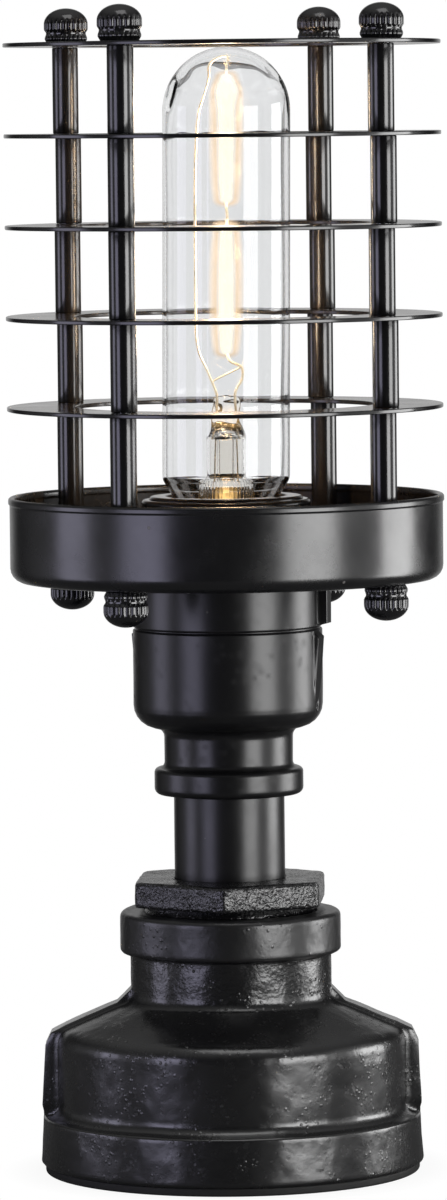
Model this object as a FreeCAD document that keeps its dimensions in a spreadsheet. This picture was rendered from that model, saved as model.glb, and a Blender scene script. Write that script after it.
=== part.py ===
import FreeCAD, Part
import math
import os
import re

import Sketcher
from FreeCAD import Placement, Rotation, Vector

# Industrial pipe table lamp. Millimetres. The lamp stands on z = 0 and its axis is Z;
# its front faces -Y and the cord inlet faces +Y.
#
# Every dimension is a cell of the sheet "Sizes". A number stands by itself; a text is a formula
# of other cells, so that what fits in or lines up with a piece follows it. Heights along the
# axis are expressions of those cells, written below as text with bare aliases.

SIZES = (
    # foot pad
    ("pad_inset", 0.9, "foot pad, its edge inside the casting's lower edge"),
    ("pad_radius", "band_foot_radius - pad_inset", "foot pad, outer radius"),
    ("pad_height", 2.0, "foot pad, thickness"),
    # cast base: a hollow reducing coupling, wide end down
    ("base_height", 61.0, "cast base, height"),
    ("body_radius", 42.2, "wide body above the band, radius"),
    ("band_proud", 3.5, "wide band, how far its upper edge stands off the body"),
    ("band_draft", 0.5, "wide band, how much wider its lower edge is"),
    ("band_top_radius", "body_radius + band_proud", "wide band, radius at its upper edge"),
    ("band_foot_radius", "band_top_radius + band_draft", "wide band, radius at its lower edge"),
    ("band_height", 11.8, "wide band, height"),
    ("body_height", 32.0, "corner between body and shoulder, above the casting's foot"),
    ("neck_foot_height", 39.6, "corner between shoulder and neck, above the casting's foot"),
    ("neck_radius", 24.4, "neck, radius"),
    ("collar_proud", 2.3, "small band, how far it stands off the neck"),
    ("collar_radius", "neck_radius + collar_proud", "small band, radius"),
    ("collar_height", 10.1, "small band, height"),
    ("base_side", 5.7, "body's upright wall"),
    ("base_bore", "body_radius - base_side", "wide threaded mouth, radius"),
    ("base_wall", 5.0, "shoulder wall, measured along the axis"),
    ("cove_radius", 3.4, "cove between body and wide band"),
    ("shoulder_round", 4.0, "rounding of the body's upper corner"),
    ("neck_cove", 3.0, "cove between shoulder and neck"),
    ("collar_round", 1.3, "rounding of the small band's edges"),
    ("band_round", 0.8, "rounding of the wide band's edges"),
    ("base_rib_width", 8.0, "side rib of the casting, width"),
    ("base_rib_proud", 3.7, "side rib, how far its foot stands off the body"),
    ("base_rib_draft", 0.9, "side rib, how much less its top stands off the body"),
    ("base_rib_crest", 0.65, "side rib, how far it stands off the shoulder"),
    ("base_rib_foot", 1.0, "side rib, its foot above the wide band's top"),
    # cover and cord inlet
    ("cover_sheet", 1.5, "bottom cover, thickness"),
    ("slip_gap", 0.1, "radial gap of loosely fitted pieces"),
    ("thread_gap", 0.05, "radial gap at threads and seats"),
    ("cord_radius", 3.2, "grommet's bore, radius"),
    ("grommet_wall", 1.6, "grommet's sleeve, wall"),
    ("inlet_radius", "cord_radius + grommet_wall", "hole for the cord grommet, radius"),
    ("grommet_lip", 0.8, "grommet's flange, how far it reaches past the hole"),
    ("grommet_flange", "inlet_radius + grommet_lip", "grommet's outer flange, radius"),
    ("grommet_proud", 1.4, "grommet's flange, how far it stands off the band"),
    # hex bushing and pipe
    ("neck_wall", 3.4, "neck's wall round the bushing's thread"),
    ("bushing_thread", "neck_radius - neck_wall", "bushing's outer thread, radius"),
    ("bushing_pitch", 2.2, "bushing's outer thread, pitch"),
    ("bushing_reach", 17.0, "bushing's thread, length below the hexagon"),
    ("thread_show", 1.9, "thread left showing under the hexagon"),
    ("hex_height", 6.0, "hexagon, height"),
    ("hex_flats", 44.5, "hexagon, across flats"),
    ("hex_turn", -94.0, "hexagon, azimuth of its front corner"),
    ("hex_round", 0.7, "rounding of the hexagon's edges"),
    ("pipe_radius", 13.35, "pipe, outer radius"),
    ("pipe_wall", 2.9, "pipe, wall"),
    ("pipe_show", 20.4, "pipe left showing between hexagon and cup"),
    ("pipe_grip", 13.0, "length of pipe inside each fitting"),
    # socket cup
    ("cup_neck_wall", 2.15, "cup's neck, wall round the pipe"),
    ("cup_neck_radius", "pipe_radius + cup_neck_wall", "cup's neck, radius"),
    ("cup_collar_proud", 2.5, "cup's lower collar, how far it stands off the neck"),
    ("cup_collar_radius", "cup_neck_radius + cup_collar_proud", "cup's lower collar, radius"),
    ("cup_collar_height", 6.3, "cup's lower collar, height"),
    ("cup_neck_height", 10.3, "cup's neck, height"),
    ("bowl_step", 7.35, "cup's bowl, how far it stands off the neck"),
    ("bowl_radius", "cup_neck_radius + bowl_step", "cup's bowl, radius"),
    ("bowl_height", 23.1, "cup's bowl, height"),
    ("bowl_round", 6.2, "rounding under the bowl"),
    ("rim_band_proud", 0.05, "cup's upper band, how far it stands off the bowl"),
    ("rim_band_radius", "bowl_radius + rim_band_proud", "cup's upper band, radius"),
    ("rim_band_height", 12.0, "cup's upper band, height with its groove"),
    ("rim_groove_depth", 0.9, "groove under the upper band, depth"),
    ("rim_groove_height", 0.9, "groove under the upper band, height"),
    ("cup_edge_round", 1.5, "rounding of the cup's edges"),
    ("cup_cove", 0.9, "cove between the cup's lower collar and its neck"),
    ("cup_wall", 3.4, "cup's wall at the bowl"),
    ("cup_floor", 4.6, "cup's floor, thickness"),
    ("pipe_ledge", 2.35, "step that stops the pipe inside the cup's neck"),
    ("cup_neck_bore", "pipe_radius - pipe_ledge", "way through the cup's neck, radius"),
    ("cup_rib_turn", -14.0, "azimuth of the cup's lug and rib"),
    ("cup_rib_width", 6.5, "cup's rib, width"),
    ("cup_rib_proud", 0.4, "cup's rib, how far its top stands off the bowl"),
    ("cup_lug_width", 4.8, "cup's lug, width"),
    ("cup_lug_proud", 2.3, "cup's lug, how far it stands off the upper band"),
    # pan
    ("pan_radius", 52.15, "pan, outer radius"),
    ("pan_height", 20.4, "pan, height"),
    ("pan_sheet", 1.0, "pan, sheet thickness"),
    ("pan_round", 3.4, "rounding of the pan's lower edge"),
    ("pan_lip", 0.3, "rolled rim, how far it stands off the wall"),
    ("pan_lip_height", 1.5, "rolled rim, height"),
    # cage
    ("ring_proud", 0.35, "guard ring, how far it stands off the pan's wall"),
    ("ring_radius", "pan_radius + ring_proud", "guard ring, outer radius"),
    ("ring_width", 16.5, "guard ring, width of its flat"),
    ("ring_hole", "ring_radius - ring_width", "guard ring, inner radius"),
    ("ring_sheet", 1.0, "guard ring, thickness"),
    ("ring_round", 0.3, "rounding of the guard ring's edges"),
    ("first_gap", 40.1, "pan floor to the lowest ring"),
    ("ring_gap", 20.8, "gap between two rings"),
    ("rod_inset", 7.45, "rod's axis inside the pan's wall"),
    ("rod_circle", "pan_radius - rod_inset", "circle of the four rods, radius"),
    ("rod_turn", -32.3, "azimuth of the first rod"),
    ("rod_radius", 2.0, "threaded rod, radius"),
    ("rod_hole_gap", 0.2, "radial gap of the rod's holes in the sheets"),
    ("spacer_wall", 0.6, "spacer tube, wall"),
    ("spacer_room", 0.55, "radial gap between a rod and its spacer's bore"),
    ("spacer_radius", "rod_radius + spacer_room + spacer_wall", "spacer tube, outer radius"),
    ("spacer_play", 0.35, "how far a spacer sits off its rod's axis"),
    # cap nuts
    ("nut_radius", 5.35, "cap nut, outer radius"),
    ("nut_height", 8.6, "cap nut, height"),
    ("nut_band", 2.3, "cap nut, height of the seat band"),
    ("nut_groove", 0.6, "cap nut, height of the groove"),
    ("nut_groove_depth", 0.45, "cap nut, depth of the groove"),
    ("nut_shoulder", 5.6, "cap nut, height where the dome starts"),
    ("nut_dome_round", 1.6, "cap nut, rounding where the dome starts"),
    ("nut_bore_depth", 6.2, "cap nut, depth of the threaded hole"),
    ("flute_radius", 0.45, "cap nut, radius of one flute"),
    ("flute_depth", 0.28, "cap nut, depth of one flute"),
    # socket
    ("barrel_bore", "shell_radius + screw_depth + shell_sheet + 2 * slip_gap",
     "socket barrel, inner radius"),
    ("barrel_wall", 4.2, "socket barrel, wall"),
    ("barrel_radius", "barrel_bore + barrel_wall", "socket barrel, outer radius"),
    ("barrel_rise", 19.3, "socket barrel, height above the pan's floor"),
    ("barrel_depth", 16.0, "socket barrel, depth below the pan's floor"),
    ("barrel_floor", 3.0, "socket barrel, floor thickness"),
    ("barrel_lip_round", 0.8, "rounding of the barrel's mouth"),
    ("clamp_ring_width", 3.0, "clamp ring on the pan's floor, width"),
    ("clamp_ring_radius", "barrel_radius + clamp_ring_width", "clamp ring, outer radius"),
    ("clamp_ring_height", 3.0, "clamp ring, height"),
    ("shade_ring_width", 1.9, "ring below the barrel's mouth, width"),
    ("shade_ring_radius", "barrel_radius + shade_ring_width", "ring below the mouth, outer radius"),
    ("shade_ring_height", 2.6, "ring below the mouth, height"),
    ("shade_ring_drop", 0.8, "ring below the mouth, its top below the mouth"),
    ("base_cap_height", 11.5, "socket's lower cap, height"),
    ("base_cap_wall", 1.6, "socket's lower cap, wall"),
    ("base_cap_floor", 2.0, "socket's lower cap, floor thickness"),
    ("shell_radius", "cap_radius + 2 * slip_gap", "screw shell, radius inside its crests"),
    ("shell_sheet", 0.4, "screw shell, sheet thickness"),
    ("shell_height", 26.0, "screw shell, height"),
    ("screw_pitch", 3.63, "lamp thread, pitch"),
    ("screw_depth", 0.5, "lamp thread, depth"),
    ("contact_radius", 4.0, "centre contact, radius of its foot"),
    ("contact_height", 4.8, "centre contact, height"),
    ("contact_sheet", 0.6, "centre contact, sheet thickness"),
    ("contact_width", 5.0, "centre contact, width of its tongue"),
    ("plate_length", 9.0, "terminal plate, length"),
    ("plate_width", 6.0, "terminal plate, width"),
    ("plate_sheet", 0.8, "terminal plate, thickness"),
    ("terminal_reach", 10.0, "terminal screw, distance from the axis"),
    ("terminal_head", 3.0, "terminal screw, head radius"),
    ("terminal_head_height", 2.0, "terminal screw, head height"),
    ("screw_radius", 1.5, "socket and terminal screws, shank radius"),
    ("socket_screw_reach", 12.6, "socket screw, distance from the axis"),
    ("socket_screw_head", 2.6, "socket screw, head radius"),
    ("socket_screw_head_height", 1.8, "socket screw, head height"),
    # what carries the socket in the cup
    ("tube_radius", 5.0, "threaded tube, outer radius"),
    ("tube_wall", 1.3, "threaded tube, wall"),
    ("tube_drop", 6.5, "threaded tube, its end below the cup's floor"),
    ("washer_inset", 1.65, "seating washer, its edge inside the cup's inner fillet"),
    ("washer_radius", "bowl_radius - 2 * cup_wall - washer_inset", "seating washer, radius"),
    ("washer_sheet", 1.5, "seating washer, thickness"),
    ("lock_nut_flats", 14.0, "lock nut, across flats"),
    ("lock_nut_height", 2.5, "lock nut, height"),
    # inner wires
    ("lead_radius", 1.1, "insulated lead, radius"),
    ("lead_spread", 1.25, "insulated lead, distance from the axis inside the tube"),
    ("lead_bend", 4.0, "insulated lead, bend at the terminal"),
    ("connector_radius", 4.0, "crimp connector, radius at its mouth"),
    ("connector_tip", 3.2, "crimp connector, radius at its closed end"),
    ("connector_length", 18.0, "crimp connector, length"),
    ("connector_spread", 9.0, "crimp connector, distance from the middle"),
    # bulb
    ("glass_radius", 15.35, "bulb's glass, outer radius"),
    ("glass_wall", 0.9, "bulb's glass, wall"),
    ("glass_rise", 107.7, "bulb's dome top above the barrel's mouth"),
    ("glass_neck", "cap_radius - screw_depth - 2 * cap_sheet", "bulb's glass inside the cap, radius"),
    ("glass_neck_height", 6.5, "bulb's glass inside the cap, height"),
    ("glass_shoulder", 5.0, "bulb's rounded lower end, height"),
    ("cap_radius", 13.0, "bulb's screw cap, radius over its crests"),
    ("cap_sheet", 0.3, "bulb's screw cap, sheet thickness"),
    ("cap_height", 24.3, "bulb's screw cap, height"),
    ("insulator_height", 1.7, "bulb's black glass insulator, height below the cap"),
    ("pip_radius", 4.6, "bulb's centre contact, radius"),
    ("pip_height", 0.9, "bulb's centre contact, height"),
    ("pip_gap", 0.2, "bulb's contact above the socket's contact"),
    ("filament_radius", 1.0, "filament stick, radius"),
    ("filament_link", 4.8, "gap between the two sticks"),
    ("filament_lift", 9.6, "lower stick's end above the glass stem"),
    ("filament_drop", 6.1, "upper stick's end below the dome's top"),
    ("filament_length",
     "(glass_rise - filament_drop - filament_link - filament_lift - pinch_height - stem_rise) / 2",
     "filament stick, length"),
    ("wire_radius", 0.3, "support wires, radius"),
    ("stem_tube", 4.6, "glass stem, tube radius"),
    ("stem_foot", "glass_neck - glass_wall - slip_gap", "glass stem, radius of its flared foot"),
    ("stem_rise", 16.2, "glass stem, tube end above the barrel's mouth"),
    ("pinch_width", 6.6, "glass stem's pinch, width"),
    ("pinch_depth", 3.0, "glass stem's pinch, depth"),
    ("pinch_height", 8.0, "glass stem's pinch, height above the tube"),
)

# Counts, which are not lengths.
RODS = 4
RINGS = 5
FLUTES = 24

# Heights along the axis, from the ground up.
BASE_FOOT = "pad_height"
BASE_TOP = "(pad_height + base_height)"
BAND_TOP = "(pad_height + band_height)"
SHOULDER_EDGE = "(pad_height + body_height)"
NECK_FOOT = "(pad_height + neck_foot_height)"
COLLAR_FOOT = f"({BASE_TOP} - collar_height)"
HEX_FOOT = f"({BASE_TOP} + thread_show)"
HEX_TOP = f"({HEX_FOOT} + hex_height)"
CUP_FOOT = f"({HEX_TOP} + pipe_show)"
CUP_COLLAR_TOP = f"({CUP_FOOT} + cup_collar_height)"
BOWL_FOOT = f"({CUP_COLLAR_TOP} + cup_neck_height)"
BOWL_TOP = f"({BOWL_FOOT} + bowl_height)"
CUP_TOP = f"({BOWL_TOP} + rim_band_height)"
CUP_SEAT = f"({BOWL_FOOT} + cup_floor)"
PAN_FLOOR = f"({CUP_TOP} + pan_sheet)"
PAN_TOP = f"({CUP_TOP} + pan_height)"
BARREL_TOP = f"({PAN_FLOOR} + barrel_rise)"
BARREL_FOOT = f"({PAN_FLOOR} - barrel_depth)"
BARREL_SEAT = f"({BARREL_FOOT} + barrel_floor)"
BASE_CAP_FOOT = f"({BARREL_FOOT} - base_cap_height)"
BULB_FOOT = f"({BARREL_SEAT} + contact_height + pip_gap)"
CAP_FOOT = f"({BULB_FOOT} + insulator_height)"
CAP_TOP = f"({CAP_FOOT} + cap_height)"
DOME_TOP = f"({BARREL_TOP} + glass_rise)"
STICK_TOP = f"({DOME_TOP} - filament_drop)"
STEM_TOP = f"({BARREL_TOP} + stem_rise)"
PINCH_TOP = f"({STEM_TOP} + pinch_height)"


def ring_foot(tier):
    """Height of the underside of a guard ring; tier 1 is the lowest."""
    return f"({PAN_FLOOR} + first_gap + {tier - 1} * (ring_gap + ring_sheet))"


CAGE_TOP = f"({ring_foot(RINGS)} + ring_sheet)"

doc = FreeCAD.newDocument("PipeLamp")
sub_parts = []


# ---------------------------------------------------------------- sheet and expressions

def make_sheet():
    """The sheet of dimensions: meaning, number or formula, and alias, one row each."""
    cells = doc.addObject("Spreadsheet::Sheet", "Sizes")
    for row, (alias, _, _) in enumerate(SIZES, start=1):
        cells.setAlias(f"B{row}", alias)
    for row, (_, size, meaning) in enumerate(SIZES, start=1):
        cells.set(f"A{row}", meaning)
        cells.set(f"B{row}", f"={size}" if isinstance(size, str) else str(size))
    doc.recompute()
    return cells


sheet = make_sheet()
ALIAS = re.compile(r"\b(" + "|".join(alias for alias, _, _ in SIZES) + r")\b")


def bound(text):
    """The expression with every bare alias written as a cell of the sheet."""
    return ALIAS.sub(r"Sizes.\1", text)


def value(text):
    """The number that an expression of aliases gives."""
    return float(sheet.evalExpression(bound(text)))


def bind(thing, **properties):
    """Bind properties of an object to expressions of the sheet."""
    for name, text in properties.items():
        thing.setExpression(name.replace("__", "."), bound(text))


def polar(radius, azimuth):
    """Expressions of x and y for a radius and an azimuth in degrees."""
    return f"({radius}) * cos({azimuth})", f"({radius}) * sin({azimuth})"


def rod_azimuth(index):
    """Azimuth of a rod, as an expression."""
    return f"(rod_turn + {index * 360 / RODS})"


# ---------------------------------------------------------------- sketches and bodies

class Arc:
    """An arc between two corners of an outline, about a centre."""

    def __init__(self, x, y, clockwise=False):
        self.x, self.y, self.clockwise = x, y, clockwise


def point(corner_x, corner_y):
    """A sketch point from two expressions."""
    return Vector(value(corner_x), value(corner_y), 0)


def pin(sketch, geometry, end, x=None, y=None):
    """Fix one coordinate or both of a sketch point by expressions, from the sketch's origin."""
    for text, kind, axis in ((x, "DistanceX", -2), (y, "DistanceY", -1)):
        if text is None:
            continue
        number = value(text)
        if abs(number) < 1e-9:
            sketch.addConstraint(Sketcher.Constraint("PointOnObject", geometry, end, axis))
            continue
        ends = (-1, 1, geometry, end) if number > 0 else (geometry, end, -1, 1)
        index = sketch.addConstraint(Sketcher.Constraint(kind, *ends, abs(number)))
        signed = text if number > 0 else f"-({text})"
        sketch.setExpression(f"Constraints[{index}]", bound(signed))


def draw_outline(sketch, outline):
    """A closed outline of corners (x, y), with an Arc after the corner that it starts from."""
    corners = [item for item in outline if not isinstance(item, Arc)]
    arcs = {}
    for item in outline:
        if isinstance(item, Arc):
            arcs[passed - 1] = item
        else:
            passed = corners.index(item) + 1
    first = sketch.GeometryCount
    ends = []
    for index, corner in enumerate(corners):
        start, stop = point(*corner), point(*corners[(index + 1) % len(corners)])
        arc = arcs.get(index)
        if arc is None:
            sketch.addGeometry(Part.LineSegment(start, stop), False)
            ends.append((1, 2))
            continue
        centre = point(arc.x, arc.y)
        opening, closing = (stop, start) if arc.clockwise else (start, stop)
        angles = [math.atan2(end.y - centre.y, end.x - centre.x) for end in (opening, closing)]
        circle = Part.Circle(centre, Vector(0, 0, 1), (start - centre).Length)
        sketch.addGeometry(Part.ArcOfCircle(circle, *angles), False)
        ends.append((2, 1) if arc.clockwise else (1, 2))
    for index, corner in enumerate(corners):
        here, before = first + index, first + (index - 1) % len(corners)
        sketch.addConstraint(Sketcher.Constraint(
            "Coincident", before, ends[index - 1][1], here, ends[index][0]))
        pin(sketch, here, ends[index][0], *corner)
        arc = arcs.get(index)
        if arc is not None:
            level = abs(value(corner[1]) - value(corners[(index + 1) % len(corners)][1])) < 1e-9
            pin(sketch, here, 3, y=arc.y) if level else pin(sketch, here, 3, x=arc.x)


def draw_circle(sketch, radius, x="0", y="0"):
    """A circle in a sketch, its centre and radius bound to the sheet."""
    circle = Part.Circle(point(x, y), Vector(0, 0, 1), value(radius))
    geometry = sketch.addGeometry(circle, False)
    pin(sketch, geometry, 3, x, y)
    index = sketch.addConstraint(Sketcher.Constraint("Radius", geometry, value(radius)))
    sketch.setExpression(f"Constraints[{index}]", bound(radius))


def new_body(label):
    """An empty body whose label names its file."""
    body = doc.addObject("PartDesign::Body", label)
    body.Label = label
    return body


def new_sketch(body, role="XY_Plane", height=None):
    """A sketch on one of the body's own origin planes, lifted by an expression if given."""
    sketch = body.newObject("Sketcher::SketchObject", f"{body.Name}_sketch")
    plane = next(item for item in body.Origin.OriginFeatures if item.Role == role)
    sketch.AttachmentSupport = (plane, "")
    sketch.MapMode = "FlatFace"
    if height is not None:
        bind(sketch, AttachmentOffset__Base__z=height)
    return sketch


def turn_outline(body, outline):
    """Revolve an outline of radius and height about the body's Z axis."""
    sketch = new_sketch(body, "XZ_Plane")
    draw_outline(sketch, outline)
    feature = body.newObject("PartDesign::Revolution", f"{body.Name}_turned")
    feature.Profile = sketch
    feature.ReferenceAxis = (sketch, ["V_Axis"])
    feature.Angle = 360
    doc.recompute()
    return feature


def turned_body(label, outline):
    """A body made by turning one outline."""
    body = new_body(label)
    turn_outline(body, outline)
    return body


def pad_sketch(body, sketch, length, symmetric=False):
    """Pad a sketch by an expression, along its normal or to both sides."""
    feature = body.newObject("PartDesign::Pad", f"{body.Name}_pad")
    feature.Profile = sketch
    feature.Midplane = symmetric
    bind(feature, Length=length)
    doc.recompute()
    return feature


def cut_through(body, sketch):
    """Cut a sketch on the XY plane upwards through the whole body."""
    before = body.Shape.Volume
    feature = body.newObject("PartDesign::Pocket", f"{body.Name}_cut")
    feature.Profile = sketch
    feature.Type = "ThroughAll"
    feature.Reversed = True
    doc.recompute()
    if not body.Shape.Volume < before:
        raise RuntimeError(f"{body.Label}: a cut removed nothing")
    return feature


def repeat_round(body, feature, count):
    """Repeat a feature about the body's Z axis."""
    pattern = body.newObject("PartDesign::PolarPattern", f"{body.Name}_pattern")
    pattern.Originals = [feature]
    pattern.Axis = (next(item for item in body.Origin.OriginFeatures if item.Role == "Z_Axis"), [""])
    pattern.Angle = 360
    pattern.Occurrences = count
    body.Tip = pattern
    doc.recompute()
    return pattern


def rims(shape, *places):
    """Names of the round edges about Z at the given places (radius, height)."""
    wanted = [(value(radius), value(height)) for radius, height in places]
    names = []
    for number, edge in enumerate(shape.Edges, start=1):
        if edge.Degenerated or not isinstance(edge.Curve, Part.Circle):
            continue
        curve = edge.Curve
        if math.hypot(curve.Center.x, curve.Center.y) > 1e-4:
            continue
        if any(abs(curve.Radius - r) < 1e-4 and abs(curve.Center.z - z) < 1e-4 for r, z in wanted):
            names.append(f"Edge{number}")
    if len(names) < len(wanted):
        raise RuntimeError(f"only {len(names)} of {len(wanted)} rims found")
    return names


def round_edges(body, radius, names):
    """Round named edges of the body's last feature."""
    base = body.Tip
    feature = body.newObject("PartDesign::Fillet", f"{body.Name}_round")
    feature.Base = (base, names)
    bind(feature, Radius=radius)
    doc.recompute()
    return feature


def round_rims(body, radius, *places):
    """Round the rims of a turned body at the given places (radius, height)."""
    return round_edges(body, radius, rims(body.Shape, *places))


def drill_rod_holes(body):
    """Four holes for the rods through a sheet piece."""
    sketch = new_sketch(body)
    draw_circle(sketch, "rod_radius + rod_hole_gap", *polar("rod_circle", rod_azimuth(0)))
    repeat_round(body, cut_through(body, sketch), RODS)


# ---------------------------------------------------------------- Part primitives

def cylinder(name, radius, length, x="0", y="0", z="0", axis=Vector(0, 0, 1)):
    """A cylinder from its foot along an axis, sizes and place bound to the sheet."""
    thing = doc.addObject("Part::Cylinder", name)
    thing.Placement.Rotation = Rotation(Vector(0, 0, 1), axis)
    bind(thing, Radius=radius, Height=length,
         Placement__Base__x=x, Placement__Base__y=y, Placement__Base__z=z)
    return thing


def box(name, length, width, height, x, y, z):
    """A box from its lowest corner, sizes and place bound to the sheet."""
    thing = doc.addObject("Part::Box", name)
    bind(thing, Length=length, Width=width, Height=height,
         Placement__Base__x=x, Placement__Base__y=y, Placement__Base__z=z)
    return thing


def cut(name, base, *tools):
    """A base piece less one tool after another."""
    for number, tool in enumerate(tools, start=1):
        thing = doc.addObject("Part::Cut", name if number == len(tools) else f"{name}_step{number}")
        thing.Base, thing.Tool = base, tool
        base = thing
    return base


def fuse(name, *shapes):
    """Several touching pieces as one."""
    thing = doc.addObject("Part::MultiFuse", name)
    thing.Shapes = list(shapes)
    return thing


def group(label, members):
    """Separate solids of one kind as one sub-part."""
    thing = doc.addObject("Part::Compound", label)
    thing.Links = members
    return keep(thing, label)


def solid_feature(label, shape):
    """A sub-part whose shape is set directly."""
    thing = doc.addObject("Part::Feature", label)
    thing.Shape = shape
    return keep(thing, label)


def keep(thing, label=None):
    """Add a finished object to the list of sub-parts."""
    if label:
        thing.Label = label
    sub_parts.append(thing)
    return thing


def tube(name, radius, bore, length, x="0", y="0", z="0"):
    """A straight tube along Z."""
    outside = cylinder(f"{name}_outside", radius, length, x, y, z)
    inside = cylinder(f"{name}_inside", bore, length, x, y, z)
    return cut(name, outside, inside)


def hexagon(sketch, flats, turn):
    """A hexagon outline, given across its flats, with one corner at an azimuth."""
    corner = f"({flats}) / 2 / cos(30)"
    draw_outline(sketch, [polar(corner, f"{turn} + {60 * side}") for side in range(6)])


def thread_wave(crest, depth, foot, pitch, turns):
    """Corners of a rounded-off thread profile, from its foot upwards: flank, crest, flank, root."""
    corners = []
    for turn in range(turns):
        base = f"{foot} + {turn} * {pitch}"
        corners += [(f"{crest} - {depth}", base),
                    (f"{crest}", f"{base} + 0.35 * {pitch}"),
                    (f"{crest}", f"{base} + 0.65 * {pitch}")]
    corners.append((f"{crest} - {depth}", f"{foot} + {turns} * {pitch}"))
    return corners


def bent_wire(points, radius):
    """A wire of straight runs through points, joined by tangent arcs of one radius."""
    edges, here = [], points[0]
    for before, corner, after in zip(points, points[1:], points[2:]):
        arriving, leaving = (corner - before).normalize(), (after - corner).normalize()
        half = arriving.getAngle(leaving) / 2
        setback = radius * math.tan(half)
        start, stop = corner - arriving * setback, corner + leaving * setback
        inward = (leaving - arriving).normalize()
        middle = corner + inward * (radius / math.cos(half) - radius)
        edges += [Part.LineSegment(here, start).toShape(), Part.Arc(start, middle, stop).toShape()]
        here = stop
    edges.append(Part.LineSegment(here, points[-1]).toShape())
    return Part.Wire(edges)


def swept_rod(points, bend, radius):
    """A round rod along a bent wire; its volume is its section times its length."""
    path = bent_wire(points, bend)
    start = path.Edges[0]
    section = Part.Wire([Part.makeCircle(radius, points[0], start.tangentAt(start.FirstParameter))])
    rod = path.makePipeShell([section], True, False)
    expected = math.pi * radius ** 2 * path.Length
    if abs(rod.Volume - expected) > 0.01 * expected:
        raise RuntimeError("a swept rod has the wrong volume")
    return rod


# ---------------------------------------------------------------- foot and cast base

def make_foot_pad():
    """The round foot pad, its edges eased."""
    body = turned_body("foot_pad", [
        ("0", "0"), ("pad_radius", "0"), ("pad_radius", "pad_height"), ("0", "pad_height")])
    round_rims(body, "pad_height / 5", ("pad_radius", "0"), ("pad_radius", "pad_height"))
    keep(body)


def make_bottom_cover():
    """The disc that closes the wide mouth of the casting."""
    keep(cylinder("bottom_cover", "base_bore - 2 * slip_gap", "cover_sheet", z=BASE_FOOT))


SLOPE = "((neck_foot_height - body_height) / (body_radius - neck_radius))"
BUSHING_BORE = "(bushing_thread + thread_gap)"


def make_base_casting():
    """The hollow casting: wide band, body, sloped shoulder, neck and small band.

    It is kept as two nodes that meet in a plane above the band's cove, so that the band round
    the cord inlet is a plain ring.
    """
    inner_edge = f"{SHOULDER_EDGE} + {SLOPE} * (body_radius - base_bore) - base_wall"
    inner_neck = f"{SHOULDER_EDGE} + {SLOPE} * (body_radius - {BUSHING_BORE}) - base_wall"
    body = turned_body("base_casting", [
        ("base_bore", BASE_FOOT),
        ("band_foot_radius", BASE_FOOT),
        ("band_top_radius", BAND_TOP),
        ("body_radius", BAND_TOP),
        ("body_radius", SHOULDER_EDGE),
        ("neck_radius", NECK_FOOT),
        ("neck_radius", COLLAR_FOOT),
        ("collar_radius", COLLAR_FOOT),
        ("collar_radius", BASE_TOP),
        (BUSHING_BORE, BASE_TOP),
        (BUSHING_BORE, inner_neck),
        ("base_bore", inner_edge)])
    round_rims(body, "shoulder_round", ("body_radius", SHOULDER_EDGE))
    round_rims(body, "neck_cove", ("neck_radius", NECK_FOOT))
    round_rims(body, "cove_radius", ("body_radius", BAND_TOP))
    round_rims(body, "collar_round", ("collar_radius", COLLAR_FOOT), ("collar_radius", BASE_TOP))
    round_rims(body, "band_round", ("band_foot_radius", BASE_FOOT))
    add_base_ribs(body)
    cut_cord_inlet(body)
    split = f"({BAND_TOP} + cove_radius)"
    above = cylinder("base_above_split", "2 * band_foot_radius", "base_height", z=split)
    below = cylinder("base_below_split", "2 * band_foot_radius", split)
    keep(cut("base_band", body, above))
    keep(cut("base_reducer", body, below))


def rib_crest(radius):
    """Height of the side rib's top above the sloped shoulder at a radius."""
    return f"({SHOULDER_EDGE} + {SLOPE} * (body_radius - ({radius})) + base_rib_crest)"


def add_base_ribs(body):
    """Two ribs on opposite sides, up the body and thinly on over the shoulder."""
    foot = f"({BAND_TOP} + base_rib_foot)"
    inside = "body_radius - base_rib_proud"
    outer = "(body_radius + base_rib_proud)"
    upper = f"({outer} - base_rib_draft)"
    corner = "body_radius + base_rib_crest"
    neck_side = "neck_radius + neck_cove"
    sketch = new_sketch(body, "XZ_Plane")
    draw_outline(sketch, [
        (inside, foot),
        (f"{outer} - base_rib_crest", foot),
        (outer, f"{foot} + 2 * base_rib_crest"),
        (upper, f"{SHOULDER_EDGE} - base_rib_proud + base_rib_draft"),
        (f"{upper} - base_rib_crest", f"{SHOULDER_EDGE} - base_rib_crest"),
        (corner, rib_crest(corner)),
        (neck_side, rib_crest(neck_side)),
        ("neck_radius", f"{NECK_FOOT} + 2 * base_rib_crest"),
        ("neck_radius", f"{NECK_FOOT} - 2 * base_rib_crest"),
        (inside, f"{SHOULDER_EDGE} - base_rib_crest")])
    repeat_round(body, pad_sketch(body, sketch, "base_rib_width", symmetric=True), 2)


INLET_HEIGHT = "(pad_height + band_height / 2)"
Y_AXIS = Vector(0, 1, 0)


def cut_cord_inlet(body):
    """The hole for the grommet, through the wide band at the back."""
    sketch = new_sketch(body, "XZ_Plane")
    draw_circle(sketch, "inlet_radius", "0", INLET_HEIGHT)
    before = body.Shape.Volume
    feature = body.newObject("PartDesign::Pocket", "inlet_cut")
    feature.Profile = sketch
    bind(feature, Length="2 * band_foot_radius")
    doc.recompute()
    if not body.Shape.Volume < before:
        raise RuntimeError("the cord inlet removed nothing")
    inner_side = Vector(0, value("base_bore"), value(INLET_HEIGHT))
    if body.Shape.isInside(inner_side + Vector(0, value("inlet_radius") / 2, 0), 1e-3, False):
        raise RuntimeError("the cord inlet is on the wrong side")


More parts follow.
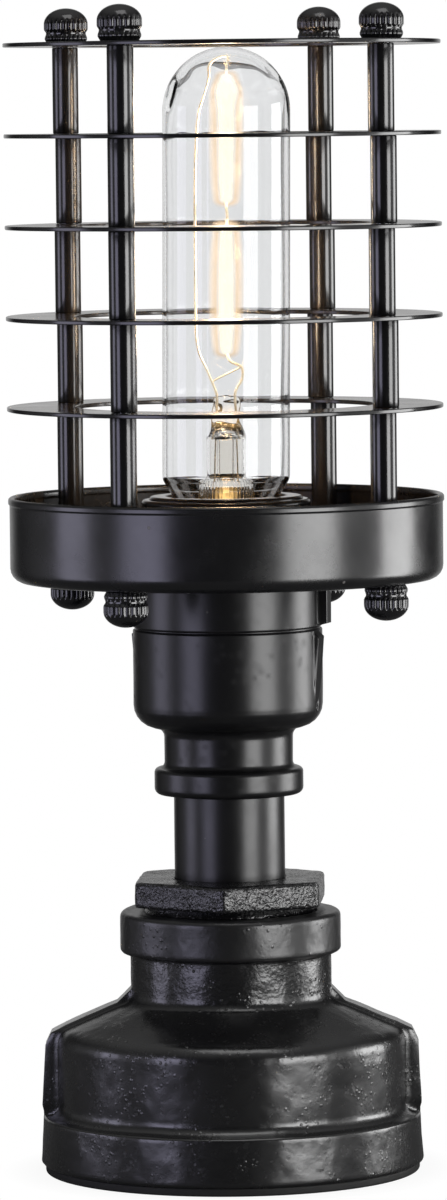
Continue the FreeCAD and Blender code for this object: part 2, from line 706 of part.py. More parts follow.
def make_cord_grommet():
    """A rubber bush whose outer flange follows the band's curve."""
    inner_end = "(base_bore - slip_gap - thread_gap)"
    outer_end = "(band_foot_radius + grommet_proud)"
    sleeve = cylinder("grommet_sleeve", "inlet_radius - thread_gap",
                      f"{outer_end} - grommet_proud / 2 - {inner_end}",
                      y=inner_end, z=INLET_HEIGHT, axis=Y_AXIS)
    blank = cylinder("grommet_blank", "grommet_flange", f"{outer_end} - {inner_end}",
                     y=inner_end, z=INLET_HEIGHT, axis=Y_AXIS)
    wall = cylinder("grommet_wall", "band_foot_radius + thread_gap", "2 * band_height", z="0")
    flange = cut("grommet_flange_ring", blank, wall)
    bore = cylinder("grommet_bore", "cord_radius", f"2 * ({outer_end} - {inner_end})",
                    y=f"{inner_end} - grommet_proud", z=INLET_HEIGHT, axis=Y_AXIS)
    keep(cut("cord_grommet", fuse("grommet_whole", sleeve, flange), bore))


# ---------------------------------------------------------------- bushing, pipe and cup

PIPE_BORE = "(pipe_radius + thread_gap)"


def make_hex_bushing():
    """The hexagon bushing: outer thread into the casting, bore for the pipe."""
    turns = int(value("bushing_reach / bushing_pitch"))
    foot = f"({HEX_FOOT} - bushing_reach)"
    wave = thread_wave("bushing_thread", "0.28 * bushing_pitch", foot, "bushing_pitch", turns)
    body = new_body("hex_bushing")
    turn_outline(body, [(PIPE_BORE, foot), *wave,
                        ("bushing_thread - 0.28 * bushing_pitch", HEX_TOP), (PIPE_BORE, HEX_TOP)])
    sketch = new_sketch(body, height=HEX_FOOT)
    hexagon(sketch, "hex_flats", "hex_turn")
    draw_circle(sketch, PIPE_BORE)
    pad_sketch(body, sketch, "hex_height")
    corner_distance = value("hex_flats / 2 / cos(30)")
    corners = []
    for number, edge in enumerate(body.Shape.Edges, start=1):
        ends = [math.hypot(end.Point.x, end.Point.y) for end in edge.Vertexes]
        if min(ends) > corner_distance - 0.01:
            corners.append(f"Edge{number}")
    round_edges(body, "hex_round", corners)
    keep(body)


def make_pipe_nipple():
    """The short pipe, gripped by the bushing below and the cup above."""
    keep(tube("pipe_nipple", "pipe_radius", "pipe_radius - pipe_wall",
              "pipe_show + 2 * pipe_grip", z=f"{HEX_TOP} - pipe_grip"))


CUP_BORE = "(bowl_radius - cup_wall)"


def make_socket_cup():
    """The cast cup: lower collar, neck, rounded bowl, groove and upper band."""
    groove_radius = "(rim_band_radius - rim_groove_depth)"
    groove_top = f"({BOWL_TOP} + rim_groove_height)"
    pipe_stop = f"({CUP_FOOT} + pipe_grip + slip_gap)"
    body = turned_body("socket_cup", [
        (PIPE_BORE, CUP_FOOT),
        ("cup_collar_radius", CUP_FOOT),
        ("cup_collar_radius", CUP_COLLAR_TOP),
        ("cup_neck_radius", CUP_COLLAR_TOP),
        ("cup_neck_radius", BOWL_FOOT),
        ("bowl_radius", BOWL_FOOT),
        ("bowl_radius", BOWL_TOP),
        (groove_radius, BOWL_TOP),
        (groove_radius, groove_top),
        ("rim_band_radius", groove_top),
        ("rim_band_radius", CUP_TOP),
        (CUP_BORE, CUP_TOP),
        (CUP_BORE, CUP_SEAT),
        ("cup_neck_bore", CUP_SEAT),
        ("cup_neck_bore", pipe_stop),
        (PIPE_BORE, pipe_stop)])
    round_rims(body, "bowl_round", ("bowl_radius", BOWL_FOOT))
    round_rims(body, "cup_edge_round", ("cup_collar_radius", CUP_FOOT),
               ("cup_collar_radius", CUP_COLLAR_TOP))
    round_rims(body, "cup_cove", ("cup_neck_radius", CUP_COLLAR_TOP))
    round_rims(body, "cup_edge_round / 2", ("bowl_radius", BOWL_TOP),
               ("rim_band_radius", groove_top))
    round_rims(body, "cup_wall", (CUP_BORE, CUP_SEAT))
    add_cup_ribs(body, groove_top)
    keep(body)


def add_cup_ribs(body, groove_top):
    """On two opposite sides a lug on the upper band, and a tapered rib below it on the bowl."""
    inside = "(bowl_radius - cup_wall / 2)"
    lug_face = "(rim_band_radius + cup_lug_proud)"
    shapes = (
        ("cup_lug_width", [
            (inside, groove_top), (f"{lug_face} - cup_edge_round", groove_top),
            (lug_face, f"{groove_top} + cup_edge_round"), (lug_face, CUP_TOP), (inside, CUP_TOP)]),
        ("cup_rib_width", [
            (inside, f"{BOWL_FOOT} + bowl_round"),
            ("bowl_radius - cup_rib_proud", f"{BOWL_FOOT} + bowl_round"),
            ("bowl_radius + cup_rib_proud", f"{BOWL_TOP} - cup_edge_round"),
            (inside, f"{BOWL_TOP} - cup_edge_round")]))
    for width, outline in shapes:
        sketch = new_sketch(body, "XZ_Plane")
        draw_outline(sketch, outline)
        repeat_round(body, pad_sketch(body, sketch, width, symmetric=True), 2)
    bind(body, Placement__Rotation__Angle="cup_rib_turn")


# ---------------------------------------------------------------- pan and cage

BARREL_HOLE = "(barrel_radius + slip_gap)"


def make_pan():
    """The pressed pan: flat floor, rounded lower edge, upright wall and rolled rim."""
    lip_foot = f"({PAN_TOP} - pan_lip_height)"
    inner = "(pan_radius - pan_sheet)"
    body = turned_body("pan", [
        (BARREL_HOLE, CUP_TOP),
        ("pan_radius", CUP_TOP),
        ("pan_radius", lip_foot),
        ("pan_radius + pan_lip", f"{lip_foot} + pan_lip"),
        ("pan_radius + pan_lip", PAN_TOP),
        (f"{inner} - pan_lip / 2", PAN_TOP),
        (f"{inner} - pan_lip / 2", lip_foot),
        (inner, f"{lip_foot} - pan_lip"),
        (inner, PAN_FLOOR),
        (BARREL_HOLE, PAN_FLOOR)])
    round_rims(body, "pan_round", ("pan_radius", CUP_TOP))
    round_rims(body, "pan_round - pan_sheet", (inner, PAN_FLOOR))
    round_rims(body, "pan_lip_height / 3", ("pan_radius + pan_lip", PAN_TOP),
               (f"{inner} - pan_lip / 2", PAN_TOP))
    drill_rod_holes(body)
    keep(body)


def make_guard_ring(tier):
    """A flat ring with four rod holes and eased edges."""
    body = new_body(f"guard_ring_{tier}")
    sketch = new_sketch(body, height=ring_foot(tier))
    draw_circle(sketch, "ring_radius")
    draw_circle(sketch, "ring_hole")
    pad_sketch(body, sketch, "ring_sheet")
    top = f"{ring_foot(tier)} + ring_sheet"
    round_rims(body, "ring_round", *((radius, height) for radius in ("ring_radius", "ring_hole")
                                     for height in (ring_foot(tier), top)))
    drill_rod_holes(body)
    keep(body)


def make_tie_rod(index):
    """A threaded rod from the lower cap nut to the upper one."""
    grip = "(nut_bore_depth - rod_hole_gap)"
    x, y = polar("rod_circle", rod_azimuth(index))
    keep(cylinder(f"tie_rod_{index + 1}", "rod_radius",
                  f"{CAGE_TOP} - {CUP_TOP} + 2 * {grip}", x, y, f"{CUP_TOP} - {grip}"))


def make_spacers(tier):
    """The four spacer tubes below one ring. Each hangs a little off its rod, its own way."""
    foot = PAN_FLOOR if tier == 1 else f"({ring_foot(tier - 1)} + ring_sheet)"
    length = "first_gap" if tier == 1 else "ring_gap"
    members = []
    for index in range(RODS):
        lean = 137.5 * (RODS * tier + index)
        at_x, at_y = polar("rod_circle", rod_azimuth(index))
        off_x, off_y = polar("spacer_play", f"{lean}")
        members.append(tube(f"spacer_{tier}_{index + 1}", "spacer_radius",
                            "spacer_radius - spacer_wall", length,
                            f"{at_x} + {off_x}", f"{at_y} + {off_y}", foot))
    group(f"spacer_tier_{tier}", members)


def make_cap_nut(name, upright):
    """One fluted cap nut on its seat at z = 0, dome up or dome down."""
    shoulder = "nut_shoulder"
    rise = "(nut_height - nut_shoulder)"
    dome_radius = f"((nut_radius * nut_radius + {rise} * {rise}) / (2 * {rise}))"
    body = turned_body(name, [
        ("rod_radius + thread_gap", "0"),
        ("nut_radius - nut_groove_depth / 2", "0"),
        ("nut_radius", "nut_groove_depth / 2"),
        ("nut_radius", "nut_band"),
        ("nut_radius - nut_groove_depth", "nut_band + nut_groove / 4"),
        ("nut_radius - nut_groove_depth", "nut_band + 3 * nut_groove / 4"),
        ("nut_radius", "nut_band + nut_groove"),
        ("nut_radius", shoulder),
        Arc("0", f"nut_height - {dome_radius}"),
        ("0", "nut_height"),
        ("0", "nut_bore_depth"),
        ("rod_radius + thread_gap", "nut_bore_depth")])
    round_rims(body, "nut_dome_round", ("nut_radius", shoulder))
    sketch = new_sketch(body)
    draw_circle(sketch, "flute_radius", "nut_radius + flute_radius - flute_depth", "0")
    repeat_round(body, cut_through(body, sketch), FLUTES)
    if not upright:
        body.Placement = Placement(Vector(0, 0, 0), Rotation(Vector(1, 0, 0), 180))
    return body


def make_cap_nuts():
    """Four cap nuts on the top ring and four under the pan."""
    for label, upright, height in (("acorn_nuts_top", True, CAGE_TOP),
                                   ("acorn_nuts_bottom", False, CUP_TOP)):
        nut = make_cap_nut(f"{label}_pattern_piece", upright)
        solids = []
        for index in range(RODS):
            x, y = polar("rod_circle", rod_azimuth(index))
            piece = doc.addObject("Part::Feature", f"{label}_{index + 1}")
            piece.Shape = nut.Shape
            piece.Placement = Placement(Vector(0, 0, 0), nut.Placement.Rotation)
            bind(piece, Placement__Base__x=x, Placement__Base__y=y, Placement__Base__z=height)
            solids.append(piece)
        group(label, solids)


# ---------------------------------------------------------------- socket

def make_socket_barrel():
    """The insulating barrel: threaded outside, flanged under the pan, with a floor."""
    body = turned_body("socket_barrel", [
        ("0", BARREL_FOOT),
        (f"{CUP_BORE} - slip_gap - slip_gap", BARREL_FOOT),
        (f"{CUP_BORE} - slip_gap - slip_gap", CUP_TOP),
        ("barrel_radius", CUP_TOP),
        ("barrel_radius", BARREL_TOP),
        ("barrel_bore", BARREL_TOP),
        ("barrel_bore", BARREL_SEAT),
        ("0", BARREL_SEAT)])
    round_rims(body, "barrel_lip_round", ("barrel_radius", BARREL_TOP), ("barrel_bore", BARREL_TOP))
    for reach, sides in ((("terminal_reach", "0"), 2), (("0", "socket_screw_reach"), 2)):
        sketch = new_sketch(body)
        draw_circle(sketch, "screw_radius + thread_gap", *reach)
        feature = body.newObject("PartDesign::Pocket", "barrel_screw_hole")
        feature.Profile = sketch
        feature.Reversed = True
        bind(feature, Length=f"{BARREL_SEAT} - barrel_floor / 4")
        doc.recompute()
        repeat_round(body, feature, sides)
    keep(body)


def make_rings_on_barrel():
    """The clamp ring on the pan's floor and the ring below the barrel's mouth."""
    for label, radius, height, foot in (
            ("clamp_ring", "clamp_ring_radius", "clamp_ring_height", PAN_FLOOR),
            ("shade_ring", "shade_ring_radius", "shade_ring_height",
             f"({BARREL_TOP} - shade_ring_drop - shade_ring_height)")):
        top = f"{foot} + {height}"
        body = turned_body(label, [
            ("barrel_radius + thread_gap", foot), (radius, foot),
            (radius, top), ("barrel_radius + thread_gap", top)])
        round_rims(body, f"{height} / 4", (radius, foot), (radius, top))
        keep(body)


def make_socket_base_cap():
    """The lower half of the socket's body, round the terminals."""
    wall_radius = f"{CUP_BORE} - slip_gap - slip_gap"
    inner = f"{wall_radius} - base_cap_wall"
    floor_top = f"{BASE_CAP_FOOT} + base_cap_floor"
    body = turned_body("socket_base_cap", [
        ("tube_radius + thread_gap", BASE_CAP_FOOT),
        (wall_radius, BASE_CAP_FOOT),
        (wall_radius, BARREL_FOOT),
        (inner, BARREL_FOOT),
        (inner, floor_top),
        ("tube_radius + thread_gap", floor_top)])
    round_rims(body, "base_cap_wall", (wall_radius, BASE_CAP_FOOT))
    sketch = new_sketch(body)
    draw_circle(sketch, "screw_radius + thread_gap", "0", "socket_screw_reach")
    repeat_round(body, cut_through(body, sketch), 2)
    keep(body)


def make_screws():
    """Two terminal screws on the plates and two long screws that hold the socket's halves."""
    plate_foot = f"({BARREL_FOOT} - plate_sheet)"
    terminals, socket_screws = [], []
    for side in (1, -1):
        x = f"{side} * terminal_reach"
        terminals.append(fuse(
            f"terminal_screw_{2 - (side + 1) // 2}",
            cylinder("terminal_head_blank", "terminal_head", "terminal_head_height",
                     x, "0", f"{plate_foot} - terminal_head_height"),
            cylinder("terminal_shank", "screw_radius", "plate_sheet + barrel_floor / 2",
                     x, "0", plate_foot)))
        y = f"{side} * socket_screw_reach"
        socket_screws.append(fuse(
            f"socket_screw_{2 - (side + 1) // 2}",
            cylinder("socket_screw_head_blank", "socket_screw_head", "socket_screw_head_height",
                     "0", y, f"{BASE_CAP_FOOT} - socket_screw_head_height"),
            cylinder("socket_screw_shank", "screw_radius", "base_cap_height + barrel_floor / 2",
                     "0", y, BASE_CAP_FOOT)))
    group("terminal_screws", terminals)
    group("socket_screws", socket_screws)


def make_terminal_plates():
    """Two brass plates under the barrel's floor, one for each terminal screw."""
    plates = []
    for side in (1, -1):
        middle = f"{side} * terminal_reach"
        blank = box(f"plate_blank_{side + 2}", "plate_length", "plate_width", "plate_sheet",
                    f"{middle} - plate_length / 2", "-plate_width / 2",
                    f"{BARREL_FOOT} - plate_sheet")
        hole = cylinder(f"plate_hole_{side + 2}", "screw_radius + thread_gap", "2 * plate_sheet",
                        middle, "0", f"{BARREL_FOOT} - 1.5 * plate_sheet")
        plates.append(cut(f"terminal_plate_{side + 2}", blank, hole))
    group("terminal_plates", plates)


def make_screw_shell():
    """The socket's thin screw shell, with an inward flange on the barrel's floor."""
    turns = int(value("(shell_height - 2 * shell_sheet) / screw_pitch"))
    foot = f"({BARREL_SEAT} + 2 * shell_sheet)"
    root = "(shell_radius + screw_depth)"
    inner = thread_wave("(shell_radius + screw_depth)", "screw_depth", foot, "screw_pitch", turns)
    outer = [(f"{radius} + shell_sheet", height) for radius, height in inner]
    top = f"{BARREL_SEAT} + shell_height"
    body = turned_body("screw_shell", [
        (f"{root} - 2 * contact_radius / 2", BARREL_SEAT),
        ("shell_radius + shell_sheet", BARREL_SEAT),
        *outer,
        ("shell_radius + shell_sheet", top),
        ("shell_radius", top),
        *reversed(inner),
        ("shell_radius", f"{BARREL_SEAT} + shell_sheet"),
        (f"{root} - 2 * contact_radius / 2", f"{BARREL_SEAT} + shell_sheet")])
    keep(body)


def make_centre_contact():
    """A riveted foot with a sprung tongue that rises to the bulb's contact."""
    foot = cylinder("contact_foot", "contact_radius", "contact_sheet", z=BARREL_SEAT)
    riser = box("contact_riser", "contact_sheet", "contact_width", "contact_height",
                "-contact_radius + contact_sheet", "-contact_width / 2", BARREL_SEAT)
    tongue = box("contact_tongue", "2 * contact_radius - 2 * contact_sheet", "contact_width",
                 "contact_sheet", "-contact_radius + contact_sheet", "-contact_width / 2",
                 f"{BARREL_SEAT} + contact_height - contact_sheet")
    keep(fuse("centre_contact", foot, riser, tongue))


def make_socket_mounting():
    """Threaded tube, seating washer and two lock nuts that hold the socket in the cup."""
    tube_foot = f"({CUP_SEAT} - tube_drop)"
    tube_top = f"({BASE_CAP_FOOT} + base_cap_floor)"
    keep(tube("lamp_nipple", "tube_radius", "tube_radius - tube_wall",
              f"{tube_top} - {tube_foot}", z=tube_foot))
    keep(tube("seating_washer", "washer_radius", "tube_radius + thread_gap",
              "washer_sheet", z=CUP_SEAT))
    nuts = []
    for name, foot in (("lock_nut_lower", f"{CUP_SEAT} - lock_nut_height"),
                       ("lock_nut_upper", f"{CUP_SEAT} + washer_sheet")):
        body = new_body(name)
        sketch = new_sketch(body, height=foot)
        hexagon(sketch, "lock_nut_flats", "30")
        draw_circle(sketch, "tube_radius + thread_gap")
        pad_sketch(body, sketch, "lock_nut_height")
        nuts.append(body)
    group("lock_nuts", nuts)


def make_socket_leads():
    """Two insulated leads from the terminals down the pipe into crimp connectors in the base."""
    connector_height = value("pad_height + cover_sheet + connector_radius")
    terminal_height = value(f"{BARREL_FOOT} - plate_sheet - lead_radius")
    spread, bend = value("lead_spread"), value("lead_bend")
    aside, low = value("connector_spread"), value(f"{NECK_FOOT}")
    start = value("terminal_reach - terminal_head")
    leads, connectors = [], []
    for number, side in enumerate((1, -1), start=1):
        leads.append(swept_rod([
            Vector(side * start, 0, terminal_height),
            Vector(side * spread, 0, terminal_height),
            Vector(side * spread, 0, low),
            Vector(side * aside, -aside, connector_height),
            Vector(side * aside, 0, connector_height)], bend, value("lead_radius")))
        place = (f"{side} * connector_spread", "0", "pad_height + cover_sheet + connector_radius")
        blank = doc.addObject("Part::Cone", f"connector_blank_{number}")
        blank.Placement.Rotation = Rotation(Vector(0, 0, 1), Y_AXIS)
        bind(blank, Radius1="connector_radius", Radius2="connector_tip", Height="connector_length",
             Placement__Base__x=place[0], Placement__Base__y="-connector_radius",
             Placement__Base__z=place[2])
        bore = cylinder(f"connector_bore_{number}", "lead_radius + thread_gap",
                        "2 * connector_radius", place[0], "-1.5 * connector_radius", place[2],
                        axis=Y_AXIS)
        connectors.append(cut(f"connector_{number}", blank, bore))
    solid_feature("socket_leads", Part.makeCompound(leads))
    group("wire_connectors", connectors)


# ---------------------------------------------------------------- bulb

def make_bulb_glass():
    """The tubular envelope: round dome, straight wall, rounded lower end, neck in the cap."""
    dome = f"({DOME_TOP} - glass_radius)"
    inner = "(glass_radius - glass_wall)"
    neck_foot = f"({CAP_TOP} - glass_neck_height)"
    shoulder = f"({CAP_TOP} + glass_shoulder)"
    reach = "(glass_shoulder / 2)"
    keep(turned_body("bulb_glass", [
        ("glass_neck", neck_foot),
        ("glass_neck", CAP_TOP),
        (f"glass_radius - {reach}", f"{CAP_TOP} + glass_shoulder / 3"),
        ("glass_radius", shoulder),
        ("glass_radius", dome),
        Arc("0", dome),
        ("0", DOME_TOP),
        ("0", f"{DOME_TOP} - glass_wall"),
        Arc("0", dome, clockwise=True),
        (inner, dome),
        (inner, shoulder),
        (f"{inner} - {reach}", f"{CAP_TOP} + glass_shoulder / 3 + glass_wall / 2"),
        ("glass_neck - glass_wall", f"{CAP_TOP} + glass_wall / 2"),
        ("glass_neck - glass_wall", neck_foot)]))


def make_bulb_stem():
    """The glass stem: flared foot in the neck, tube and flattened pinch on top."""
    foot = f"({CAP_TOP} - glass_neck_height)"
    wall = "glass_wall"
    body = turned_body("stem_turned", [
        (f"stem_foot - {wall}", foot),
        ("stem_foot", foot),
        ("stem_foot - glass_wall / 2", f"{foot} + glass_neck_height / 2"),
        ("(stem_foot + stem_tube) / 2", f"{CAP_TOP} + glass_wall"),
        ("stem_tube", f"{CAP_TOP} + glass_shoulder"),
        ("stem_tube", STEM_TOP),
        ("stem_tube - glass_wall", f"{STEM_TOP} + glass_wall"),
        ("0", f"{STEM_TOP} + glass_wall"),
        ("0", f"{STEM_TOP} - glass_wall"),
        (f"stem_tube - {wall}", f"{STEM_TOP} - glass_wall"),
        (f"stem_tube - {wall}", f"{CAP_TOP} + glass_shoulder"),
        (f"(stem_foot + stem_tube) / 2 - {wall}", f"{CAP_TOP} + glass_wall"),
        (f"stem_foot - glass_wall / 2 - {wall}", f"{foot} + glass_neck_height / 2")])
    pinch = box("stem_pinch", "pinch_width", "pinch_depth", "pinch_height",
                "-pinch_width / 2", "-pinch_depth / 2", STEM_TOP)
    keep(fuse("bulb_stem", body, pinch))


def make_filaments():
    """Two filament sticks on the axis, one above the other."""
    keep(cylinder("filament_upper", "filament_radius", "filament_length",
                  z=f"{STICK_TOP} - filament_length"))
    keep(cylinder("filament_lower", "filament_radius", "filament_length",
                  z=f"{STICK_TOP} - 2 * filament_length - filament_link"))


def make_filament_wires():
    """The long support wire over the top, the link between the sticks and the short lead."""
    top = value(STICK_TOP)
    upper_foot = top - value("filament_length")
    lower_top = upper_foot - value("filament_link")
    lower_foot = lower_top - value("filament_length")
    pinch, hook = value(PINCH_TOP), value(f"{DOME_TOP} - glass_wall")
    side, radius = value("glass_radius / 2"), value("wire_radius")
    arch = (hook - top) / 2
    long_wire = [
        Vector(-value("pinch_width") / 3, 0, pinch),
        Vector(-value("pinch_width") / 3, 0, pinch + 3 * radius),
        Vector(-side, 0, lower_foot + side),
        Vector(-side, 0, top - side),
        Vector(-side / 2, 0, hook - 4 * radius),
        Vector(0, 0, hook - 4 * radius),
        Vector(0, 0, top)]
    lead = [
        Vector(value("pinch_width") / 3, 0, pinch),
        Vector(value("pinch_width") / 3, 0, pinch + 3 * radius),
        Vector(value("pinch_width") * 2 / 3, 0, lower_foot - radius),
        Vector(0, 0, lower_foot - 8 * radius),
        Vector(0, 0, lower_foot)]
    link = Part.makeCylinder(radius, upper_foot - lower_top, Vector(0, 0, lower_top))
    solid_feature("filament_wires", Part.makeCompound([
        swept_rod(long_wire, 2.5 * radius, radius), swept_rod(lead, 1.2 * radius, radius), link]))


def make_bulb_cap():
    """The bulb's thin screw cap."""
    turns = int(value("(cap_height - cap_sheet) / screw_pitch"))
    wave = thread_wave("cap_radius", "screw_depth", CAP_FOOT, "screw_pitch", turns)
    inner = "(cap_radius - screw_depth - cap_sheet)"
    keep(turned_body("bulb_cap", [
        (f"{inner} - cap_sheet", CAP_FOOT), *wave,
        ("cap_radius - screw_depth", CAP_TOP),
        (inner, CAP_TOP),
        (inner, f"{CAP_FOOT} + cap_sheet"),
        (f"{inner} - cap_sheet", f"{CAP_FOOT} + cap_sheet")]))


def make_cap_end():
    """The black glass insulator that closes the cap, and the contact on it."""
    inner = "(cap_radius - screw_depth - 2 * cap_sheet)"
    pip_top = f"({BULB_FOOT} + pip_height)"
    keep(turned_body("cap_insulator", [
        ("pip_radius + thread_gap", BULB_FOOT + " + pip_height / 2"),
        (inner, CAP_FOOT),
        (inner, f"{CAP_FOOT} + 3 * cap_sheet"),
        ("0", f"{CAP_FOOT} + 3 * cap_sheet"),
        ("0", pip_top),
        ("pip_radius + thread_gap", pip_top)]))
    body = turned_body("cap_contact", [
        ("0", BULB_FOOT), ("pip_radius", BULB_FOOT), ("pip_radius", pip_top), ("0", pip_top)])
    round_rims(body, "pip_height / 3", ("pip_radius", BULB_FOOT))
    keep(body)


# ---------------------------------------------------------------- build, check and write

def build():
    """Every sub-part, from the ground up."""
    make_foot_pad()
    make_bottom_cover()
    make_base_casting()
    make_cord_grommet()
    make_hex_bushing()
    make_pipe_nipple()
    make_socket_cup()
    make_pan()
    for tier in range(1, RINGS + 1):
        make_guard_ring(tier)
        make_spacers(tier)
    for index in range(RODS):
        make_tie_rod(index)
    make_cap_nuts()
    make_socket_barrel()
    make_rings_on_barrel()
    make_socket_base_cap()
    make_screws()
    make_terminal_plates()
    make_screw_shell()
    make_centre_contact()
    make_socket_mounting()
    make_socket_leads()
    make_bulb_glass()
    make_bulb_stem()
    make_filaments()
    make_filament_wires()
    make_bulb_cap()
    make_cap_end()
    doc.recompute()


def check():
    """Stop if an object failed, or a sub-part's shape is missing, broken or not solid."""
    for thing in doc.Objects:
        if "Invalid" in thing.State or "Error" in thing.State:
            raise RuntimeError(f"{thing.Label} failed: {thing.State}")
    for thing in sub_parts:
        shape = thing.Shape
        if shape.isNull() or not shape.isValid() or not shape.Solids:
            raise RuntimeError(f"{thing.Label} has no valid solid")


def write():
    """One STEP file for each sub-part."""
    os.makedirs("parts", exist_ok=True)
    for thing in sub_parts:
        thing.Shape.exportStep(f"parts/{thing.Label}.step")


build()
check()
write()
print(f"{len(sub_parts)} sub-parts written")
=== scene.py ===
"""Pipe table lamp: shaped pieces, finishes, studio and camera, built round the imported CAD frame.

Sub-assemblies hold their sizes in millimetres, and so does a finish its relief. Finishes hold
their places in metres, as the studio does. Meshes are in metres, in the frame's own axes: the
lamp stands on z = 0, its axis is Z and its front faces -Y.
"""

import logging
import math
from dataclasses import dataclass
from enum import Enum
from functools import cache
from typing import Callable, Mapping, Sequence

import bpy
import numpy as np
from mathutils import Matrix, Vector


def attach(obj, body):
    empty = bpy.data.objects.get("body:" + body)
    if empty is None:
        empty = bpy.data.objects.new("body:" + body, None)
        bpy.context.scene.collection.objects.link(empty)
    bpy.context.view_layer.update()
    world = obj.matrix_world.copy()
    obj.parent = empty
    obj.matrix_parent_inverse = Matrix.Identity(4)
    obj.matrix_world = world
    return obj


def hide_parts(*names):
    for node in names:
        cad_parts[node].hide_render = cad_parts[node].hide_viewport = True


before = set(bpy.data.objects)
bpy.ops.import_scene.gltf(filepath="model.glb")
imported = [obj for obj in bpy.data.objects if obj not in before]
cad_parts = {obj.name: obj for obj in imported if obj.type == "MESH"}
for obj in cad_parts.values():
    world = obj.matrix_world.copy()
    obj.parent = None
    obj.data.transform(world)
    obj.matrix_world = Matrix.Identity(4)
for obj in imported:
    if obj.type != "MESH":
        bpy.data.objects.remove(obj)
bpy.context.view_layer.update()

logging.basicConfig(level=logging.INFO, format="%(message)s")
LOG = logging.getLogger("pipe_lamp")

MM = 0.001
TURN = 2 * math.pi
Array = np.ndarray
Signal = bpy.types.NodeSocket
Colour = tuple[float, float, float]
# A corner of an outline has a radius, a height and a rounding.
Corner = tuple[float, float, float]
# A mark is a place on an outline, and the place that a rib has there.
Marks = tuple[tuple[tuple[float, float], tuple[float, float]], ...]
# Spans go from one azimuth to another, in degrees within -180 to 180.
Spans = tuple[tuple[float, float], ...]
# A wave has a seed, a cell size and a height.
Waves = tuple[tuple[int, float, float], ...]
BLACK: Colour = (0.0, 0.0, 0.0)
WHITE = (1.0, 1.0, 1.0, 1.0)


class Body(Enum):
    """The two bodies of the frame."""

    LAMP = "lamp"
    BULB = "bulb"


class Slot(Enum):
    """The record's material slots."""

    CASTING = "black_casting"
    PAINT = "black_paint"
    RUBBER = "black_rubber"
    ZINC = "zinc_steel"
    PHENOLIC = "phenolic"
    BRASS = "brass"
    INSULATION = "wire_insulation"
    NYLON = "nylon"
    GLASS = "clear_glass"
    STEM = "stem_glass"
    FILAMENT = "filament"
    WIRE = "support_wire"
    CAP = "cap_metal"
    BLACK_GLASS = "black_glass"


# ---------------------------------------------------------------- surfaces as whole arrays

def rounded(corners: Sequence[Corner], closed: bool = True, steps: int = 6) -> Array:
    """Outline whose corners are rounded by arcs tangent to both sides.

    A corner (r, z, radius) becomes the arc centre + (sin((1-t)w) a + sin(tw) b) / sin(w), where a
    and b run from the arc's centre to its two ends, w is the angle between them, t goes 0 to 1.

    Args:
        corners: radius, height and rounding of each corner.
        closed: whether the last corner joins the first.
        steps: points in one arc.

    Returns:
        The outline's points, one row each.
    """
    points = np.array([corner[:2] for corner in corners], float)
    share = np.linspace(0, 1, steps)[:, None]
    runs = []
    for index, (_, _, radius) in enumerate(corners):
        here = points[index]
        if radius <= 0 or (not closed and index in (0, len(corners) - 1)):
            runs.append(here[None])
            continue
        back = points[index - 1] - here
        ahead = points[(index + 1) % len(points)] - here
        back, ahead = back / np.linalg.norm(back), ahead / np.linalg.norm(ahead)
        half = math.acos(float(np.clip(back @ ahead, -1, 1))) / 2
        inward = (back + ahead) / np.linalg.norm(back + ahead)
        centre = here + inward * radius / math.sin(half)
        setback = radius / math.tan(half)
        start, stop = here + back * setback - centre, here + ahead * setback - centre
        sweep = math.pi - 2 * half
        runs.append(centre + (np.sin((1 - share) * sweep) * start
                              + np.sin(share * sweep) * stop) / math.sin(sweep))
    return np.concatenate(runs)


def refined(outline: Array, spacing: float, closed: bool = True) -> Array:
    """The outline with points added on its straight runs: a + (b - a) k / n for each run.

    Args:
        outline: points, one row each.
        spacing: the longest step left.
        closed: whether the last point joins the first.

    Returns:
        The denser outline.
    """
    start = outline if closed else outline[:-1]
    stop = np.roll(outline, -1, axis=0) if closed else outline[1:]
    counts = np.maximum(1, np.ceil(np.linalg.norm(stop - start, axis=1) / spacing)).astype(int)
    run = np.repeat(np.arange(len(counts)), counts)
    step = np.arange(run.size) - np.repeat(np.cumsum(counts) - counts, counts)
    points = start[run] + (step / counts[run])[:, None] * (stop - start)[run]
    return points if closed else np.concatenate((points, outline[-1:]))


def profile(corners: Sequence[Corner], spacing: float, closed: bool = True,
            steps: int = 6) -> Array:
    """A rounded outline with points added on its straight runs.

    Args:
        corners: radius, height and rounding of each corner.
        spacing: the longest step left.
        closed: whether the last corner joins the first.
        steps: points in one arc.

    Returns:
        The outline.
    """
    return refined(rounded(corners, closed, steps), spacing, closed)


def sleeve(radii: tuple[float, float], heights: tuple[float, float],
           easing: tuple[float, float, float, float], spacing: float, steps: int = 6) -> Array:
    """Outline of a plain ring or tube with rounded corners.

    Args:
        radii: inner and outer radius.
        heights: foot and top.
        easing: rounding of the corners: inner and outer foot, outer and inner top.
        spacing: the longest step left.
        steps: points in one arc.

    Returns:
        The outline.
    """
    (inner, outer), (foot, top) = radii, heights
    corners = zip((inner, outer, outer, inner), (foot, foot, top, top), easing)
    return profile(list(corners), spacing, steps=steps)


def dome(radius: float, foot: float, rise: float, steps: int) -> Array:
    """Quarter ellipse from its foot up to the axis: (R cos t, z + h sin t)."""
    t = np.linspace(0, math.pi / 2, steps)
    return np.stack((radius * np.cos(t), foot + rise * np.sin(t)), axis=1)


def on_circle(radius: float, angle: float) -> Array:
    """The point (r cos a, r sin a, 0)."""
    return np.array((radius * math.cos(angle), radius * math.sin(angle), 0.0))


def round_columns(count: int) -> Array:
    """Evenly spaced angles of a full turn."""
    return np.linspace(0, TURN, count, endpoint=False)


